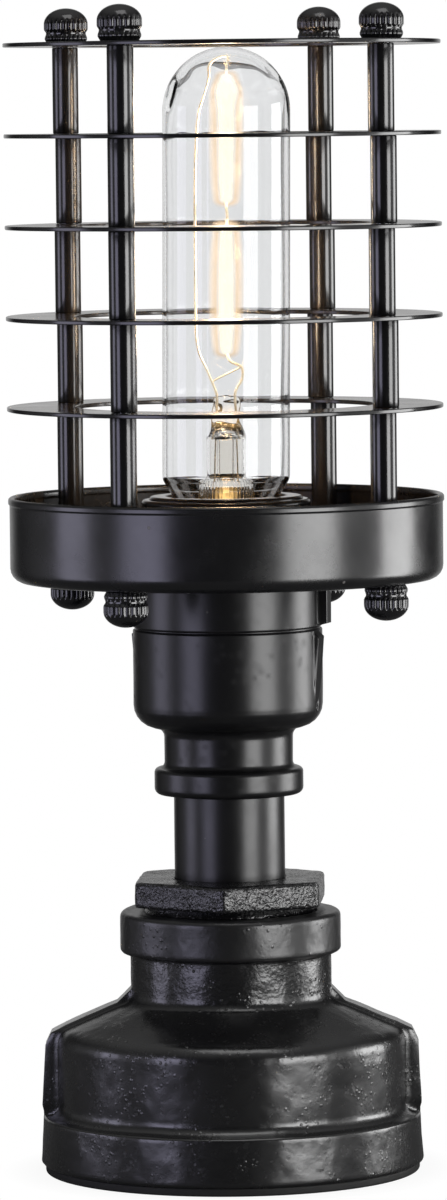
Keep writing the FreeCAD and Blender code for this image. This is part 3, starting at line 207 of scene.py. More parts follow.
def dense_columns(spans: Spans, fine: float, coarse: float) -> Array:
    """Angles of a full turn, closer together within the given spans.

    Args:
        spans: where they are closer.
        fine: step inside the spans, in degrees.
        coarse: step elsewhere, in degrees.

    Returns:
        Increasing angles in radians.
    """
    ticks = np.arange(-180, 180, fine)
    inside = np.any([(ticks >= low) & (ticks <= high) for low, high in spans], axis=0)
    every = max(1, round(coarse / fine))
    return np.radians(ticks[inside | (np.arange(ticks.size) % every == 0)])


def polar(radius: Array, angles: Array, height: Array) -> Array:
    """Points x = r cos a, y = r sin a, z, with rows of radii and heights over columns of angles."""
    x, y = radius * np.cos(angles), radius * np.sin(angles)
    return np.stack((x, y, np.broadcast_to(height, x.shape)), axis=2)


def turned(outline: Array, angles: Array | int) -> Array:
    """Surface of revolution of an outline.

    Args:
        outline: radius and height of each row.
        angles: the columns' angles, or how many evenly spaced ones there are.

    Returns:
        The grid, rows along the outline.
    """
    if isinstance(angles, int):
        angles = round_columns(angles)
    return polar(outline[:, :1], angles, outline[:, 1:2])


def helix(height: Array, pitch: float, angles: Array) -> Array:
    """Wave of a thread: 0.5 - 0.5 cos(2 pi z / pitch - a), 0 on its crest and 1 in its root."""
    return 0.5 - 0.5 * np.cos(TURN * height / pitch - angles)


def tube_along(path: Array, radius: Array | float, sides: int) -> Array:
    """Tube about a path: centre + radius (cos a n + sin a b), with n, b square to the path.

    Args:
        path: centres, one row each; the ends are closed with poles.
        radius: one radius for each centre, or one for all.
        sides: points round the tube.

    Returns:
        The tube's grid, rows along the path.
    """
    tangent = np.gradient(path, axis=0)
    tangent /= np.linalg.norm(tangent, axis=1, keepdims=True)
    side = np.cross((0.0, 1.0, 0.0), tangent)
    side /= np.linalg.norm(side, axis=1, keepdims=True)
    other = np.cross(tangent, side)
    path, side, other = (np.concatenate((v[:1], v, v[-1:]))[:, None] for v in (path, side, other))
    radius = np.pad(np.broadcast_to(radius, len(tangent)), 1)[:, None, None]
    angles = round_columns(sides)[None, :, None]
    return path + radius * (np.cos(angles) * side + np.sin(angles) * other)


def smooth_path(knots: Sequence[Sequence[float]], count: int) -> Array:
    """Curve through knots, by cubic Hermite runs whose tangents are half the knots' differences.

    Args:
        knots: points to pass through.
        count: points in the curve.

    Returns:
        The curve's points.
    """
    knots = np.array(knots, float)
    tangents = np.gradient(knots, axis=0)
    place = np.linspace(0, len(knots) - 1, count)
    run = np.minimum(place.astype(int), len(knots) - 2)
    t = (place - run)[:, None]
    return ((2 * t**3 - 3 * t**2 + 1) * knots[run] + (t**3 - 2 * t**2 + t) * tangents[run]
            + (3 * t**2 - 2 * t**3) * knots[run + 1] + (t**3 - t**2) * tangents[run + 1])


def grid_normals(points: Array) -> Array:
    """Unit normals of a closed grid: the cross product of its column and row differences.

    Args:
        points: the grid.

    Returns:
        A normal at each point.
    """
    across, along = (np.roll(points, -1, axis=axis) - np.roll(points, 1, axis=axis)
                     for axis in (1, 0))
    normal = np.cross(across, along)
    return normal / np.maximum(np.linalg.norm(normal, axis=2, keepdims=True), 1e-12)


def smoothstep(low: float, high: float, value: Array) -> Array:
    """3 t^2 - 2 t^3 with t the place of the value between low and high, held to 0 and 1."""
    t = np.clip((value - low) / (high - low), 0, 1)
    return t * t * (3 - 2 * t)


def within(start: float, full: float, fade: float, stop: float, value: Array) -> Array:
    """1 between full and fade, falling by smoothstep to 0 at start and at stop."""
    return smoothstep(start, full, value) * (1 - smoothstep(fade, stop, value))


def lump_field(points: Array, seed: int, cell: float) -> Array:
    """Smooth random heights in space: numbers on a cubic lattice, mixed by smoothstep weights.

    Args:
        points: where the heights are wanted.
        seed: start of the random numbers.
        cell: the lattice's step.

    Returns:
        A height from -1 to 1 at each point.
    """
    size = 32
    table = np.random.default_rng(seed).uniform(-1, 1, (size, size, size))
    place = points / cell
    low = np.floor(place).astype(int)
    share = place - low
    share = share * share * (3 - 2 * share)
    total = np.zeros(points.shape[:-1])
    for corner in np.ndindex(2, 2, 2):
        weight = np.prod(np.where(corner, share, 1 - share), axis=-1)
        total += weight * table[tuple(np.moveaxis((low + corner) % size, -1, 0))]
    return total


def lumpy(points: Array, waves: Waves, share: Array | float = 1.0) -> Array:
    """The closed grid moved along its normals by the sum of several lump fields.

    Args:
        points: the grid.
        waves: seed, cell size and height of each field.
        share: how much of the movement each row gets.

    Returns:
        The moved grid.
    """
    height = sum(tall * lump_field(points, seed, cell) for seed, cell, tall in waves)
    return points + grid_normals(points) * (height * share)[..., None]


def raise_rib(points: Array, outline: Array, azimuth: float,
              marks: Marks, half_width: Callable[[Array], Array], soft: float) -> Array:
    """Lifts a flat-faced rib out of a turned surface.

    In the frame turned by the azimuth, a point near the rib's middle plane goes over to the rib's
    own outline: (x, y, z) becomes (1 - w)(x, y, z) + w (X, y, Z). Along the surface X and Z are
    read off the marks, and across it w falls from 1 to 0 over the soft edge.

    Args:
        points: the turned grid.
        outline: the outline that it was turned from.
        azimuth: direction of the rib's middle, in degrees.
        marks: places on the outline, each with the rib's own radius and height there.
        half_width: half the rib's width for each height.
        soft: width of the rib's sloping edge.

    Returns:
        The grid with its rib.
    """
    length = np.concatenate(([0.0], np.cumsum(np.linalg.norm(np.diff(outline, axis=0), axis=1))))
    on_body, on_rib = np.array(marks).transpose(1, 0, 2)
    nearest = np.linalg.norm(outline[None] - on_body[:, None], axis=2).argmin(axis=1)
    rib_x, rib_z = (np.interp(length, length[nearest], on_rib[:, axis])[:, None] for axis in (0, 1))
    inside = ((length >= length[nearest[0]]) & (length <= length[nearest[-1]]))[:, None]
    turn = math.radians(azimuth)
    x = points[..., 0] * math.cos(turn) + points[..., 1] * math.sin(turn)
    y = points[..., 1] * math.cos(turn) - points[..., 0] * math.sin(turn)
    edge = half_width(rib_z)
    weight = (1 - smoothstep(edge - soft, edge + soft, np.abs(y))) * inside * (x > 0)
    x = x + weight * (rib_x - x)
    z = points[..., 2] + weight * (rib_z - points[..., 2])
    return np.stack((x * math.cos(turn) - y * math.sin(turn),
                     x * math.sin(turn) + y * math.cos(turn), z), axis=2)


# ---------------------------------------------------------------- shader nodes

class Nodes:
    """Short ways to add nodes to a tree and link them."""

    def __init__(self, tree: bpy.types.NodeTree) -> None:
        """Keeps the tree."""
        self.tree = tree

    def give(self, node: bpy.types.Node, inputs: Mapping[str | int, object]) -> None:
        """Links sockets, or sets values.

        Args:
            node: the node that takes them.
            inputs: them by input name or number.
        """
        for key, given in inputs.items():
            if isinstance(given, Signal):
                self.tree.links.new(given, node.inputs[key])
            else:
                node.inputs[key].default_value = given

    def add(self, kind: str, inputs: Mapping[str | int, object] | None = None,
            **settings: object) -> bpy.types.Node:
        """Adds a node.

        Args:
            kind: the node's type.
            inputs: sockets to link, or values to set, by input name or number.
            **settings: the node's own properties.

        Returns:
            The node.
        """
        node = self.tree.nodes.new(kind)
        for name, setting in settings.items():
            setattr(node, name, setting)
        self.give(node, inputs or {})
        return node

    def math(self, operation: str, first: object, second: object = 0.0) -> Signal:
        """The result of one arithmetic step."""
        return self.add("ShaderNodeMath", {0: first, 1: second}, operation=operation).outputs[0]

    def plus(self, first: object, second: object) -> Signal:
        """The sum of two values."""
        return self.math("ADD", first, second)

    def times(self, first: object, second: object) -> Signal:
        """The product of two values."""
        return self.math("MULTIPLY", first, second)

    def most(self, first: object, second: object) -> Signal:
        """The larger of two values."""
        return self.math("MAXIMUM", first, second)

    def noise(self, place: object, scale: object, detail: float = 3.0,
              rough: float = 0.55) -> Signal:
        """Fractal noise.

        Args:
            place: where it is read.
            scale: its cells per metre.
            detail: how many finer layers it has.
            rough: weight of each finer layer.

        Returns:
            A value from 0 to 1.
        """
        return self.add("ShaderNodeTexNoise", {"Vector": place, "Scale": scale, "Detail": detail,
                                               "Roughness": rough}).outputs["Fac"]

    def span(self, given: object, low: object, high: object, to_low: object = 0.0,
             to_high: object = 1.0) -> Signal:
        """A value carried from one range to another and held there.

        Args:
            given: the value.
            low: start of its range.
            high: end of its range.
            to_low: what the start becomes.
            to_high: what the end becomes.

        Returns:
            The new value.
        """
        return self.add("ShaderNodeMapRange", {"Value": given, "From Min": low, "From Max": high,
                                               "To Min": to_low, "To Max": to_high}).outputs[0]

    def blend(self, share: object, first: object, second: object) -> Signal:
        """Two values blended by a share."""
        return self.add("ShaderNodeMix", {0: share, 2: first, 3: second}).outputs[0]

    def mix(self, share: object, first: object, second: object) -> Signal:
        """Two colours blended by a share.

        Args:
            share: the second colour's share.
            first: a colour or a socket.
            second: a colour or a socket.

        Returns:
            The blended colour.
        """
        tones = [tone if isinstance(tone, Signal) else (*tone, 1.0) for tone in (first, second)]
        return self.add("ShaderNodeMix", {0: share, 6: tones[0], 7: tones[1]},
                        data_type="RGBA").outputs[2]


@dataclass(frozen=True)
class SharedGroup:
    """A shader node group that several materials use.

    Its inner nodes are added by a function of the nodes, the place and the inputs, which gives
    the outputs.
    """

    name: str
    inputs: tuple[tuple[str, float], ...]
    outputs: tuple[str, ...]
    fill: Callable[..., Sequence[Signal]]

    @cache
    def tree(self) -> bpy.types.NodeTree:
        """The group, made when it is first asked for.

        Returns:
            Its tree.
        """
        tree = bpy.data.node_groups.new(self.name, "ShaderNodeTree")
        tree.interface.new_socket("Place", in_out="INPUT", socket_type="NodeSocketVector")
        for label, default in self.inputs:
            socket = tree.interface.new_socket(label, in_out="INPUT",
                                               socket_type="NodeSocketFloat")
            socket.default_value = default
        for label in self.outputs:
            tree.interface.new_socket(label, in_out="OUTPUT", socket_type="NodeSocketFloat")
        nodes = Nodes(tree)
        given = nodes.add("NodeGroupInput").outputs
        made = self.fill(nodes, given["Place"], *(given[label] for label, _ in self.inputs))
        nodes.add("NodeGroupOutput", dict(zip(self.outputs, made)))
        return tree


def grain_nodes(nodes: Nodes, place: Signal, scale: Signal, middle: Signal,
                spread: Signal) -> Sequence[Signal]:
    """Fine uneven grain.

    Args:
        nodes: the group's nodes.
        place: where it is read.
        scale: its cells per metre.
        middle: the value about which it varies.
        spread: how far it varies.

    Returns:
        The value, and the height that goes with it.
    """
    fleck = nodes.noise(place, scale)
    wide = nodes.noise(place, nodes.times(scale, 0.09))
    both = nodes.math("SUBTRACT", nodes.plus(fleck, wide), 1.0)
    return nodes.plus(middle, nodes.times(both, spread)), fleck


def cast_skin_nodes(nodes: Nodes, place: Signal, scale: Signal, lumps: Signal, sand: Signal,
                    pitting: Signal, raised: Signal) -> Sequence[Signal]:
    """Skin of sand-cast iron: lumps, sand, and patches of round pits and raised grains.

    Args:
        nodes: the group's nodes.
        place: where it is read.
        scale: its cells per metre.
        lumps: height of the lumps.
        sand: height of the sand.
        pitting: depth of the pits.
        raised: height of the grains.

    Returns:
        The skin's height, and masks of its pits and grains.
    """
    lump, fine = (nodes.noise(place, size, 2.0, 0.5) for size in (nodes.times(scale, 0.35), scale))
    pit = nodes.add("ShaderNodeTexVoronoi", {"Vector": place, "Scale": scale}, feature="SMOOTH_F1")
    pit_patch = nodes.span(nodes.noise(place, nodes.times(scale, 0.22)), 0.45, 0.62)
    pits = nodes.times(nodes.span(pit.outputs["Distance"], 0.05, 0.42, 1, 0), pit_patch)
    grain = nodes.add("ShaderNodeTexVoronoi", {"Vector": place, "Scale": nodes.times(scale, 0.75)})
    grain_patch = nodes.span(nodes.noise(place, nodes.times(scale, 0.11)), 0.5, 0.6)
    grains = nodes.times(nodes.span(grain.outputs["Distance"], 0.08, 0.3, 1, 0), grain_patch)
    height = nodes.plus(nodes.times(lump, lumps), nodes.times(fine, sand))
    height = nodes.math("SUBTRACT", height, nodes.times(pits, pitting))
    return nodes.plus(height, nodes.times(grains, raised)), pits, grains


def dust_nodes(nodes: Nodes, place: Signal, scale: Signal, amount: Signal) -> Sequence[Signal]:
    """Sparse specks: a soft dot in each cell whose random number is under the amount.

    Args:
        nodes: the group's nodes.
        place: where it is read.
        scale: its cells per metre.
        amount: the share of cells that have a speck.

    Returns:
        The specks' mask.
    """
    cell = nodes.add("ShaderNodeTexVoronoi", {"Vector": place, "Scale": scale})
    chance = nodes.add("ShaderNodeSeparateColor", {0: cell.outputs["Color"]}).outputs
    size = nodes.span(chance[1], 0, 1, 0.07, 0.2)
    dot = nodes.span(nodes.math("DIVIDE", cell.outputs["Distance"], size), 0.6, 1, 1, 0)
    return (nodes.times(dot, nodes.math("LESS_THAN", chance[0], amount)),)


def worn_edge_nodes(nodes: Nodes, place: Signal, amount: Signal) -> Sequence[Signal]:
    """Wear where a surface is sharply convex, broken up by noise.

    Args:
        nodes: the group's nodes.
        place: where it is read.
        amount: how far it goes.

    Returns:
        The wear's mask.
    """
    convex = nodes.span(nodes.add("ShaderNodeNewGeometry").outputs["Pointiness"], 0.515, 0.6)
    patch = nodes.span(nodes.noise(place, 420.0), 0.35, 0.7)
    return (nodes.times(nodes.times(convex, patch), amount),)


GRAIN = SharedGroup("grain", (("Scale", 900), ("Middle", 0.4), ("Spread", 0.1)),
                    ("Value", "Height"), grain_nodes)
CAST_SKIN = SharedGroup("cast skin", (("Scale", 600), ("Lumps", 1.0), ("Sand", 0.5),
                                      ("Pitting", 1.0), ("Raised", 1.0)),
                        ("Height", "Pits", "Grains"), cast_skin_nodes)
DUST = SharedGroup("dust", (("Scale", 350), ("Amount", 0.1)), ("Mask",), dust_nodes)
WORN_EDGE = SharedGroup("worn edge", (("Amount", 0.5),), ("Mask",), worn_edge_nodes)


class Shade(Nodes):
    """A material under way: Object coordinates, a principled shader and its output."""

    def __init__(self, name: str) -> None:
        """Starts an empty material.

        Args:
            name: the material's name.
        """
        self.material = bpy.data.materials.new(name)
        self.material.use_nodes = True
        super().__init__(self.material.node_tree)
        self.tree.nodes.clear()
        self.surface = self.add("ShaderNodeBsdfPrincipled")
        self.output = self.add("ShaderNodeOutputMaterial", {0: self.surface.outputs[0]})
        self.place = self.add("ShaderNodeTexCoord").outputs["Object"]

    def group(self, shared: SharedGroup, **inputs: object) -> Mapping[str, Signal]:
        """Places a shared group on the Object coordinates.

        Args:
            shared: the group.
            **inputs: sockets to link, or values to set, by input name.

        Returns:
            The group's outputs by name.
        """
        placed = {"Place": self.place, **inputs}
        return self.add("ShaderNodeGroup", placed, node_tree=shared.tree()).outputs

    def patches(self, scale: float, detail: float, band: tuple[float, float],
                levels: tuple[float, float]) -> Signal:
        """A patchy value over the surface.

        Args:
            scale: the noise's cells per metre.
            detail: how many finer layers it has.
            band: the part of the noise that is used.
            levels: what the two ends of that part become.

        Returns:
            The value.
        """
        return self.span(self.noise(self.place, scale, detail), *band, *levels)

    def axis(self, name: str) -> Signal:
        """One of the Object coordinates: X, Y or Z."""
        return self.add("ShaderNodeSeparateXYZ", {0: self.place}).outputs[name]

    def feed(self, **inputs: object) -> None:
        """Links or sets inputs of the principled shader; an underscore stands for a space."""
        self.give(self.surface, {key.replace("_", " "): given for key, given in inputs.items()})

    def relief(self, height: object, depth: float) -> None:
        """Feeds the normal from a height.

        Args:
            height: a value from 0 to 1.
            depth: what its full range stands for, in millimetres.
        """
        bump = self.add("ShaderNodeBump", {"Height": height, "Strength": 1.0,
                                           "Distance": depth * MM})
        self.feed(Normal=bump.outputs[0])

    def cover(self, share: object, shader: bpy.types.Node) -> None:
        """Blends another shader over the principled one.

        Args:
            share: the other shader's share.
            shader: the other shader.
        """
        both = self.add("ShaderNodeMixShader", {0: share, 1: self.surface.outputs[0],
                                                2: shader.outputs[0]})
        self.give(self.output, {0: both.outputs[0]})


# ---------------------------------------------------------------- finishes

@dataclass(frozen=True)
class Finish:
    """A finish of the lamp, and the record's slot that it belongs to."""

    name: str
    slot: Slot

    @cache
    def material(self) -> bpy.types.Material:
        """The finish's material, made when it is first asked for.

        Returns:
            The material.
        """
        shade = Shade(self.name)
        self.fill(shade)
        return shade.material

    def fill(self, shade: Shade) -> None:
        """Adds the nodes of this kind of finish.

        Args:
            shade: the material under way.
        """
        raise NotImplementedError


@dataclass(frozen=True)
class PaintFinish(Finish):
    """Satin black paint on smooth steel: faint orange peel, specks of dust, worn edges."""

    slot: Slot = Slot.PAINT
    colour: Colour = (0.0042, 0.0042, 0.0047)
    worn: Colour = (0.03, 0.029, 0.028)
    dust: Colour = (0.2, 0.19, 0.18)
    rough: float = 0.25
    spread: float = 0.06
    peel: float = 0.006
    cloud: float = 0.08
    dusting: float = 0.05
    wear: float = 0.25
    gloss: float = 0.75
    grain_scale: float = 700.0
    dust_scale: float = 330.0
    cloud_scale: float = 75.0

    def fill(self, shade: Shade) -> None:
        """Paint with wear and dust over it; dust is rougher.

        Args:
            shade: the material under way.
        """
        grain = shade.group(GRAIN, Scale=self.grain_scale, Middle=self.rough, Spread=self.spread)
        dust = shade.group(DUST, Scale=self.dust_scale, Amount=self.dusting)["Mask"]
        worn = shade.group(WORN_EDGE, Amount=self.wear)["Mask"]
        base = shade.mix(worn, self.colour, self.worn)
        cloud = shade.patches(self.cloud_scale, 4.0, (0.3, 0.7), (-self.cloud, self.cloud))
        rough = shade.plus(shade.plus(grain["Value"], cloud), shade.times(dust, 0.3))
        shade.feed(Base_Color=shade.mix(shade.times(dust, 0.45), base, self.dust),
                   Roughness=rough, Specular_IOR_Level=self.gloss)
        shade.relief(grain["Height"], self.peel)


@dataclass(frozen=True)
class CastFinish(Finish):
    """Black paint over sand-cast iron: lumps, pits and bright raised grains."""

    slot: Slot = Slot.CASTING
    colour: Colour = (0.004, 0.004, 0.0044)
    speck: Colour = (0.07, 0.068, 0.066)
    rough: float = 0.23
    scale: float = 900.0
    depth: float = 0.07
    lumps: float = 0.5
    sand: float = 0.3
    pitting: float = 0.3
    raised: float = 1.3
    grains: float = 0.3
    spread: float = 0.05
    dusting: float = 0.04
    gloss: float = 1.0
    coat: float = 0.0
    grain_scale: float = 160.0
    dust_scale: float = 420.0
    wear: float = 0.15
    sandy: tuple[float, float] | None = None
    zone_edge: float = 0.003
    zone_sand: float = 0.9
    zone_raised: float = 1.5
    zone_dull: float = 0.1

    def fill(self, shade: Shade) -> None:
        """Cast skin under paint; between the heights of its sandy zone the sand is coarser.

        Args:
            shade: the material under way.
        """
        sand, raised, coat, dull = self.sand, self.raised, self.coat, 0.0
        if self.sandy:
            (low, high), edge, height = self.sandy, self.zone_edge, shade.axis("Z")
            zone = shade.times(shade.span(height, low, low + edge),
                               shade.span(height, high - edge, high, 1.0, 0.0))
            sand = shade.span(zone, 0.0, 1.0, self.sand, self.sand + self.zone_sand)
            raised = shade.span(zone, 0.0, 1.0, self.raised, self.raised + self.zone_raised)
            coat = shade.span(height, low - 2 * edge, low, self.coat, 0.0)
            dull = shade.span(height, high - edge, high - 0.001, 0.0, self.zone_dull)
        skin = shade.group(CAST_SKIN, Scale=self.scale, Lumps=self.lumps, Sand=sand,
                           Pitting=self.pitting, Raised=raised)
        grain = shade.group(GRAIN, Scale=self.grain_scale, Middle=self.rough, Spread=self.spread)
        worn = shade.group(WORN_EDGE, Amount=self.wear)["Mask"]
        dust = shade.group(DUST, Scale=self.dust_scale, Amount=self.dusting)["Mask"]
        bright = shade.most(shade.times(skin["Grains"], self.grains), worn)
        bright = shade.most(bright, shade.times(dust, 0.6))
        rough = shade.plus(shade.plus(grain["Value"], dull), shade.times(skin["Pits"], 0.15))
        shade.feed(Base_Color=shade.mix(bright, self.colour, self.speck), Roughness=rough,
                   Specular_IOR_Level=self.gloss, Coat_Weight=coat, Coat_Roughness=0.3)
        shade.relief(skin["Height"], self.depth)


@dataclass(frozen=True)
class MouldedFinish(Finish):
    """Moulded plastic, rubber or phenolic: one colour with grain in its gloss."""

    colour: Colour
    pale: Colour
    dust: Colour = (0.2, 0.19, 0.17)
    rough: float = 0.4
    scale: float = 800.0
    depth: float = 0.01
    gloss: float = 0.5
    spread: float = 0.12
    dusting: float = 0.04
    dust_scale: float = 300.0
    patch_scale: float = 120.0

    def fill(self, shade: Shade) -> None:
        """Pale patches on the colour, and dust over both.

        Args:
            shade: the material under way.
        """
        grain = shade.group(GRAIN, Scale=self.scale, Middle=self.rough, Spread=self.spread)
        dust = shade.group(DUST, Scale=self.dust_scale, Amount=self.dusting)["Mask"]
        patch = shade.patches(self.patch_scale, 3.0, (0.3, 0.75), (0.0, 0.5))
        base = shade.mix(patch, self.colour, self.pale)
        shade.feed(Base_Color=shade.mix(shade.times(dust, 0.3), base, self.dust),
                   Roughness=grain["Value"], Specular_IOR_Level=self.gloss)
        shade.relief(grain["Height"], self.depth)


@dataclass(frozen=True)
class MetalFinish(Finish):
    """Bare or plated metal: patchy tone, fine grain and worn edges."""

    colour: Colour
    stain: Colour
    rough: float = 0.3
    scale: float = 1400.0
    spread: float = 0.14
    depth: float = 0.004
    wear: float = 0.5
    patch_scale: float = 170.0
    painted_glow: float = 0.0
    painted_glow_from: tuple[float, float] = (0.183, 0.188)
    painted_glow_colour: Colour = (1.0, 0.88, 0.66)
    painted_glow_stain: Colour = (0.7, 0.5, 0.28)

    def fill(self, shade: Shade) -> None:
        """Metal stained in patches; a painted glow above a height stands in for the filament's
        light on it.

        Args:
            shade: the material under way.
        """
        grain = shade.group(GRAIN, Scale=self.scale, Middle=self.rough, Spread=self.spread)
        worn = shade.group(WORN_EDGE, Amount=self.wear)["Mask"]
        patch = shade.patches(self.patch_scale, 4.0, (0.4, 0.8), (0.0, 0.7))
        patch = shade.times(patch, shade.math("SUBTRACT", 1.0, worn))
        shade.feed(Base_Color=shade.mix(patch, self.colour, self.stain), Metallic=1.0,
                   Roughness=grain["Value"])
        # Painted light: faint warm emission above a height stands in for the filament's light on
        # the wires.
        if self.painted_glow:
            painted_glow_colour = shade.mix(patch, self.painted_glow_colour, self.painted_glow_stain)
            above = shade.span(shade.axis("Z"), *self.painted_glow_from)
            shade.feed(Emission_Color=shade.mix(above, BLACK, painted_glow_colour), Emission_Strength=self.painted_glow)
        shade.relief(grain["Height"], self.depth)


@dataclass(frozen=True)
class GlassFinish(Finish):
    """Clear blown glass that lets light through to what stands behind it.

    A painted glow spot (foot, top, half width, strength) is faint warm emission: painted light
    that stands in for the filament's light seen in the stem.
    """

    colour: Colour = (0.93, 0.935, 0.94)
    rough: float = 0.0
    index: float = 1.5
    ripple: float = 0.0015
    painted_glow_spots: tuple[tuple[float, float, float, float], ...] = ()
    painted_glow_tone: Colour = (1.0, 0.62, 0.22)

    def fill(self, shade: Shade) -> None:
        """Glass with a ripple and its painted glow spots; shadow rays pass straight through.

        Args:
            shade: the material under way.
        """
        ripple = shade.noise(shade.place, 90.0, 1.0)
        deeper = tuple(0.985 * part for part in self.colour)
        shade.feed(Base_Color=shade.mix(shade.span(ripple, 0.3, 0.7), self.colour, deeper),
                   Roughness=self.rough, IOR=self.index, Transmission_Weight=1.0)
        shade.relief(ripple, self.ripple)
        # Painted light: warm emission in spots stands in for the filament's light seen in the stem.
        if self.painted_glow_spots:
            across, height = shade.math("ABSOLUTE", shade.axis("X")), shade.axis("Z")
            glow: object = 0.0
            for foot, top, half_width, strength in self.painted_glow_spots:
                tall = shade.times(shade.span(height, foot - 0.001, foot),
                                   shade.span(height, top, top + 0.002, 1.0, 0.0))
                wide = shade.span(across, 0.3 * half_width, half_width, strength, 0.0)
                glow = shade.most(glow, shade.times(tall, wide))
            patch = shade.patches(900.0, 2.0, (0.4, 0.6), (0.25, 1.0))
            shade.feed(Emission_Color=shade.mix(shade.times(glow, patch), BLACK, self.painted_glow_tone),
                       Emission_Strength=1.0)
        path = shade.add("ShaderNodeLightPath").outputs
        shade.cover(path["Is Shadow Ray"], shade.add("ShaderNodeBsdfTransparent"))


@dataclass(frozen=True)
class GlowFinish(Finish):
    """Glowing phosphor or the light round it: white in the middle, warm towards its edge."""

    slot: Slot = Slot.FILAMENT
    centre: Colour = (1.0, 0.9, 0.66)
    edge: Colour = (1.0, 0.6, 0.2)
    unlit: Colour = (0.3, 0.17, 0.03)
    patch: Colour = (0.4, 0.24, 0.05)
    strength: float = 2.2
    turn: tuple[float, float] = (0.25, 0.95)
    gloss: float = 0.1
    veil: float | None = None
    mirrored: float = 11.0

    def fill(self, shade: Shade) -> None:
        """The glow; a veil is clear at its outline: alpha is v (1 - facing) cubed.

        Mirrored, it is brighter by a factor, because the sticks are far brighter than white.

        Args:
            shade: the material under way.
        """
        facing = shade.add("ShaderNodeLayerWeight", {"Blend": 0.5}).outputs["Facing"]
        flicker = shade.patches(260.0, 3.0, (0.3, 0.7), (0.0, 0.12))
        share = shade.plus(shade.span(facing, *self.turn), flicker)
        mirrors = shade.add("ShaderNodeLightPath").outputs["Glossy Depth"]
        strength = shade.span(mirrors, 0.0, 1.0, self.strength, self.strength * self.mirrored)
        shade.feed(Base_Color=shade.mix(flicker, self.unlit, self.patch), Roughness=0.6,
                   Emission_Color=shade.mix(share, self.centre, self.edge),
                   Emission_Strength=strength, Specular_IOR_Level=self.gloss)
        if self.veil:
            clear = shade.math("POWER", shade.math("SUBTRACT", 1.0, facing), 3.0)
            shade.feed(Alpha=shade.times(clear, self.veil))


class Finishes:
    """Every finish of the lamp."""

    paint = PaintFinish("satin_black_paint", cloud=0.05, gloss=0.85)
    ring_paint = PaintFinish("ring_black_paint", rough=0.16, peel=0.003, cloud=0.03,
                             dusting=0.02)
    nut_paint = PaintFinish("nut_black_paint", rough=0.18, peel=0.01, dusting=0.02, wear=0.0,
                            gloss=1.0)
    spacer_paint = PaintFinish("spacer_black_paint", rough=0.16, peel=0.0025, cloud=0.02,
                               dusting=0.02, gloss=0.85)
    pipe_paint = PaintFinish("pipe_black_paint", rough=0.31, peel=0.008, dusting=0.12,
                             cloud=0.04, gloss=0.68)
    cup = CastFinish("cup_black_casting", rough=0.29, scale=420.0, depth=0.005, lumps=0.8,
                     sand=0.1, pitting=0.1, raised=0.2, grains=0.03, spread=0.03,
                     dusting=0.015, gloss=0.62)
    base = CastFinish("base_black_casting", grains=0.2, dusting=0.025, coat=0.42,
                      sandy=(0.041, 0.055))
    hexagon = CastFinish("bushing_black_casting", scale=1500.0, depth=0.2, lumps=1.1,
                         pitting=0.8, sand=1.0, raised=1.1, grains=0.2, rough=0.24, spread=0.1)
    rubber = MouldedFinish("black_rubber_pad", Slot.RUBBER, (0.012, 0.012, 0.012),
                           (0.02, 0.02, 0.019), rough=0.62, depth=0.03)
    phenolic = MouldedFinish("black_phenolic", Slot.PHENOLIC, (0.006, 0.0055, 0.0055),
                             (0.01, 0.009, 0.008), rough=0.13, depth=0.002, gloss=0.25)
    nylon = MouldedFinish("grey_nylon", Slot.NYLON, (0.42, 0.42, 0.4), (0.5, 0.5, 0.47),
                          rough=0.45)
    insulation = MouldedFinish("lead_insulation", Slot.INSULATION, (0.02, 0.02, 0.021),
                               (0.03, 0.03, 0.03), rough=0.42)
    black_glass = MouldedFinish("black_glass_bead", Slot.BLACK_GLASS, (0.01, 0.01, 0.014),
                                (0.02, 0.018, 0.03), rough=0.1, depth=0.004)
    zinc = MetalFinish("zinc_plate", Slot.ZINC, (0.56, 0.57, 0.58), (0.36, 0.36, 0.35))
    brass = MetalFinish("brass_sheet", Slot.BRASS, (0.75, 0.55, 0.27), (0.45, 0.3, 0.14),
                        rough=0.28)
    cap = MetalFinish("cap_nickel", Slot.CAP, (0.66, 0.65, 0.62), (0.45, 0.43, 0.4), rough=0.26)
    # The support wire carries painted light: a faint warm glow above the pinch.
    wire = MetalFinish("support_wire", Slot.WIRE, (0.9, 0.82, 0.66), (0.55, 0.42, 0.26),
                       rough=0.24, painted_glow=0.4)
    glass = GlassFinish("clear_bulb_glass", Slot.GLASS)
    # The stem's glow spots are painted light.
    stem = GlassFinish("stem_glass", Slot.STEM, (1.0, 0.99, 0.97), index=1.3, ripple=0.02,
                       painted_glow_spots=((0.16, 0.1642, 0.0032, 0.28), (0.1798, 0.1835, 0.006, 0.2)))
    glow = GlowFinish("glowing_filament")
    halo = GlowFinish("filament_glow", centre=(1.0, 1.0, 0.95), edge=(0.98, 0.72, 0.46),
                      unlit=BLACK, patch=BLACK, strength=1.0, turn=(0.07, 0.18), gloss=0.0,
                      veil=0.88)


# ---------------------------------------------------------------- meshes and pieces

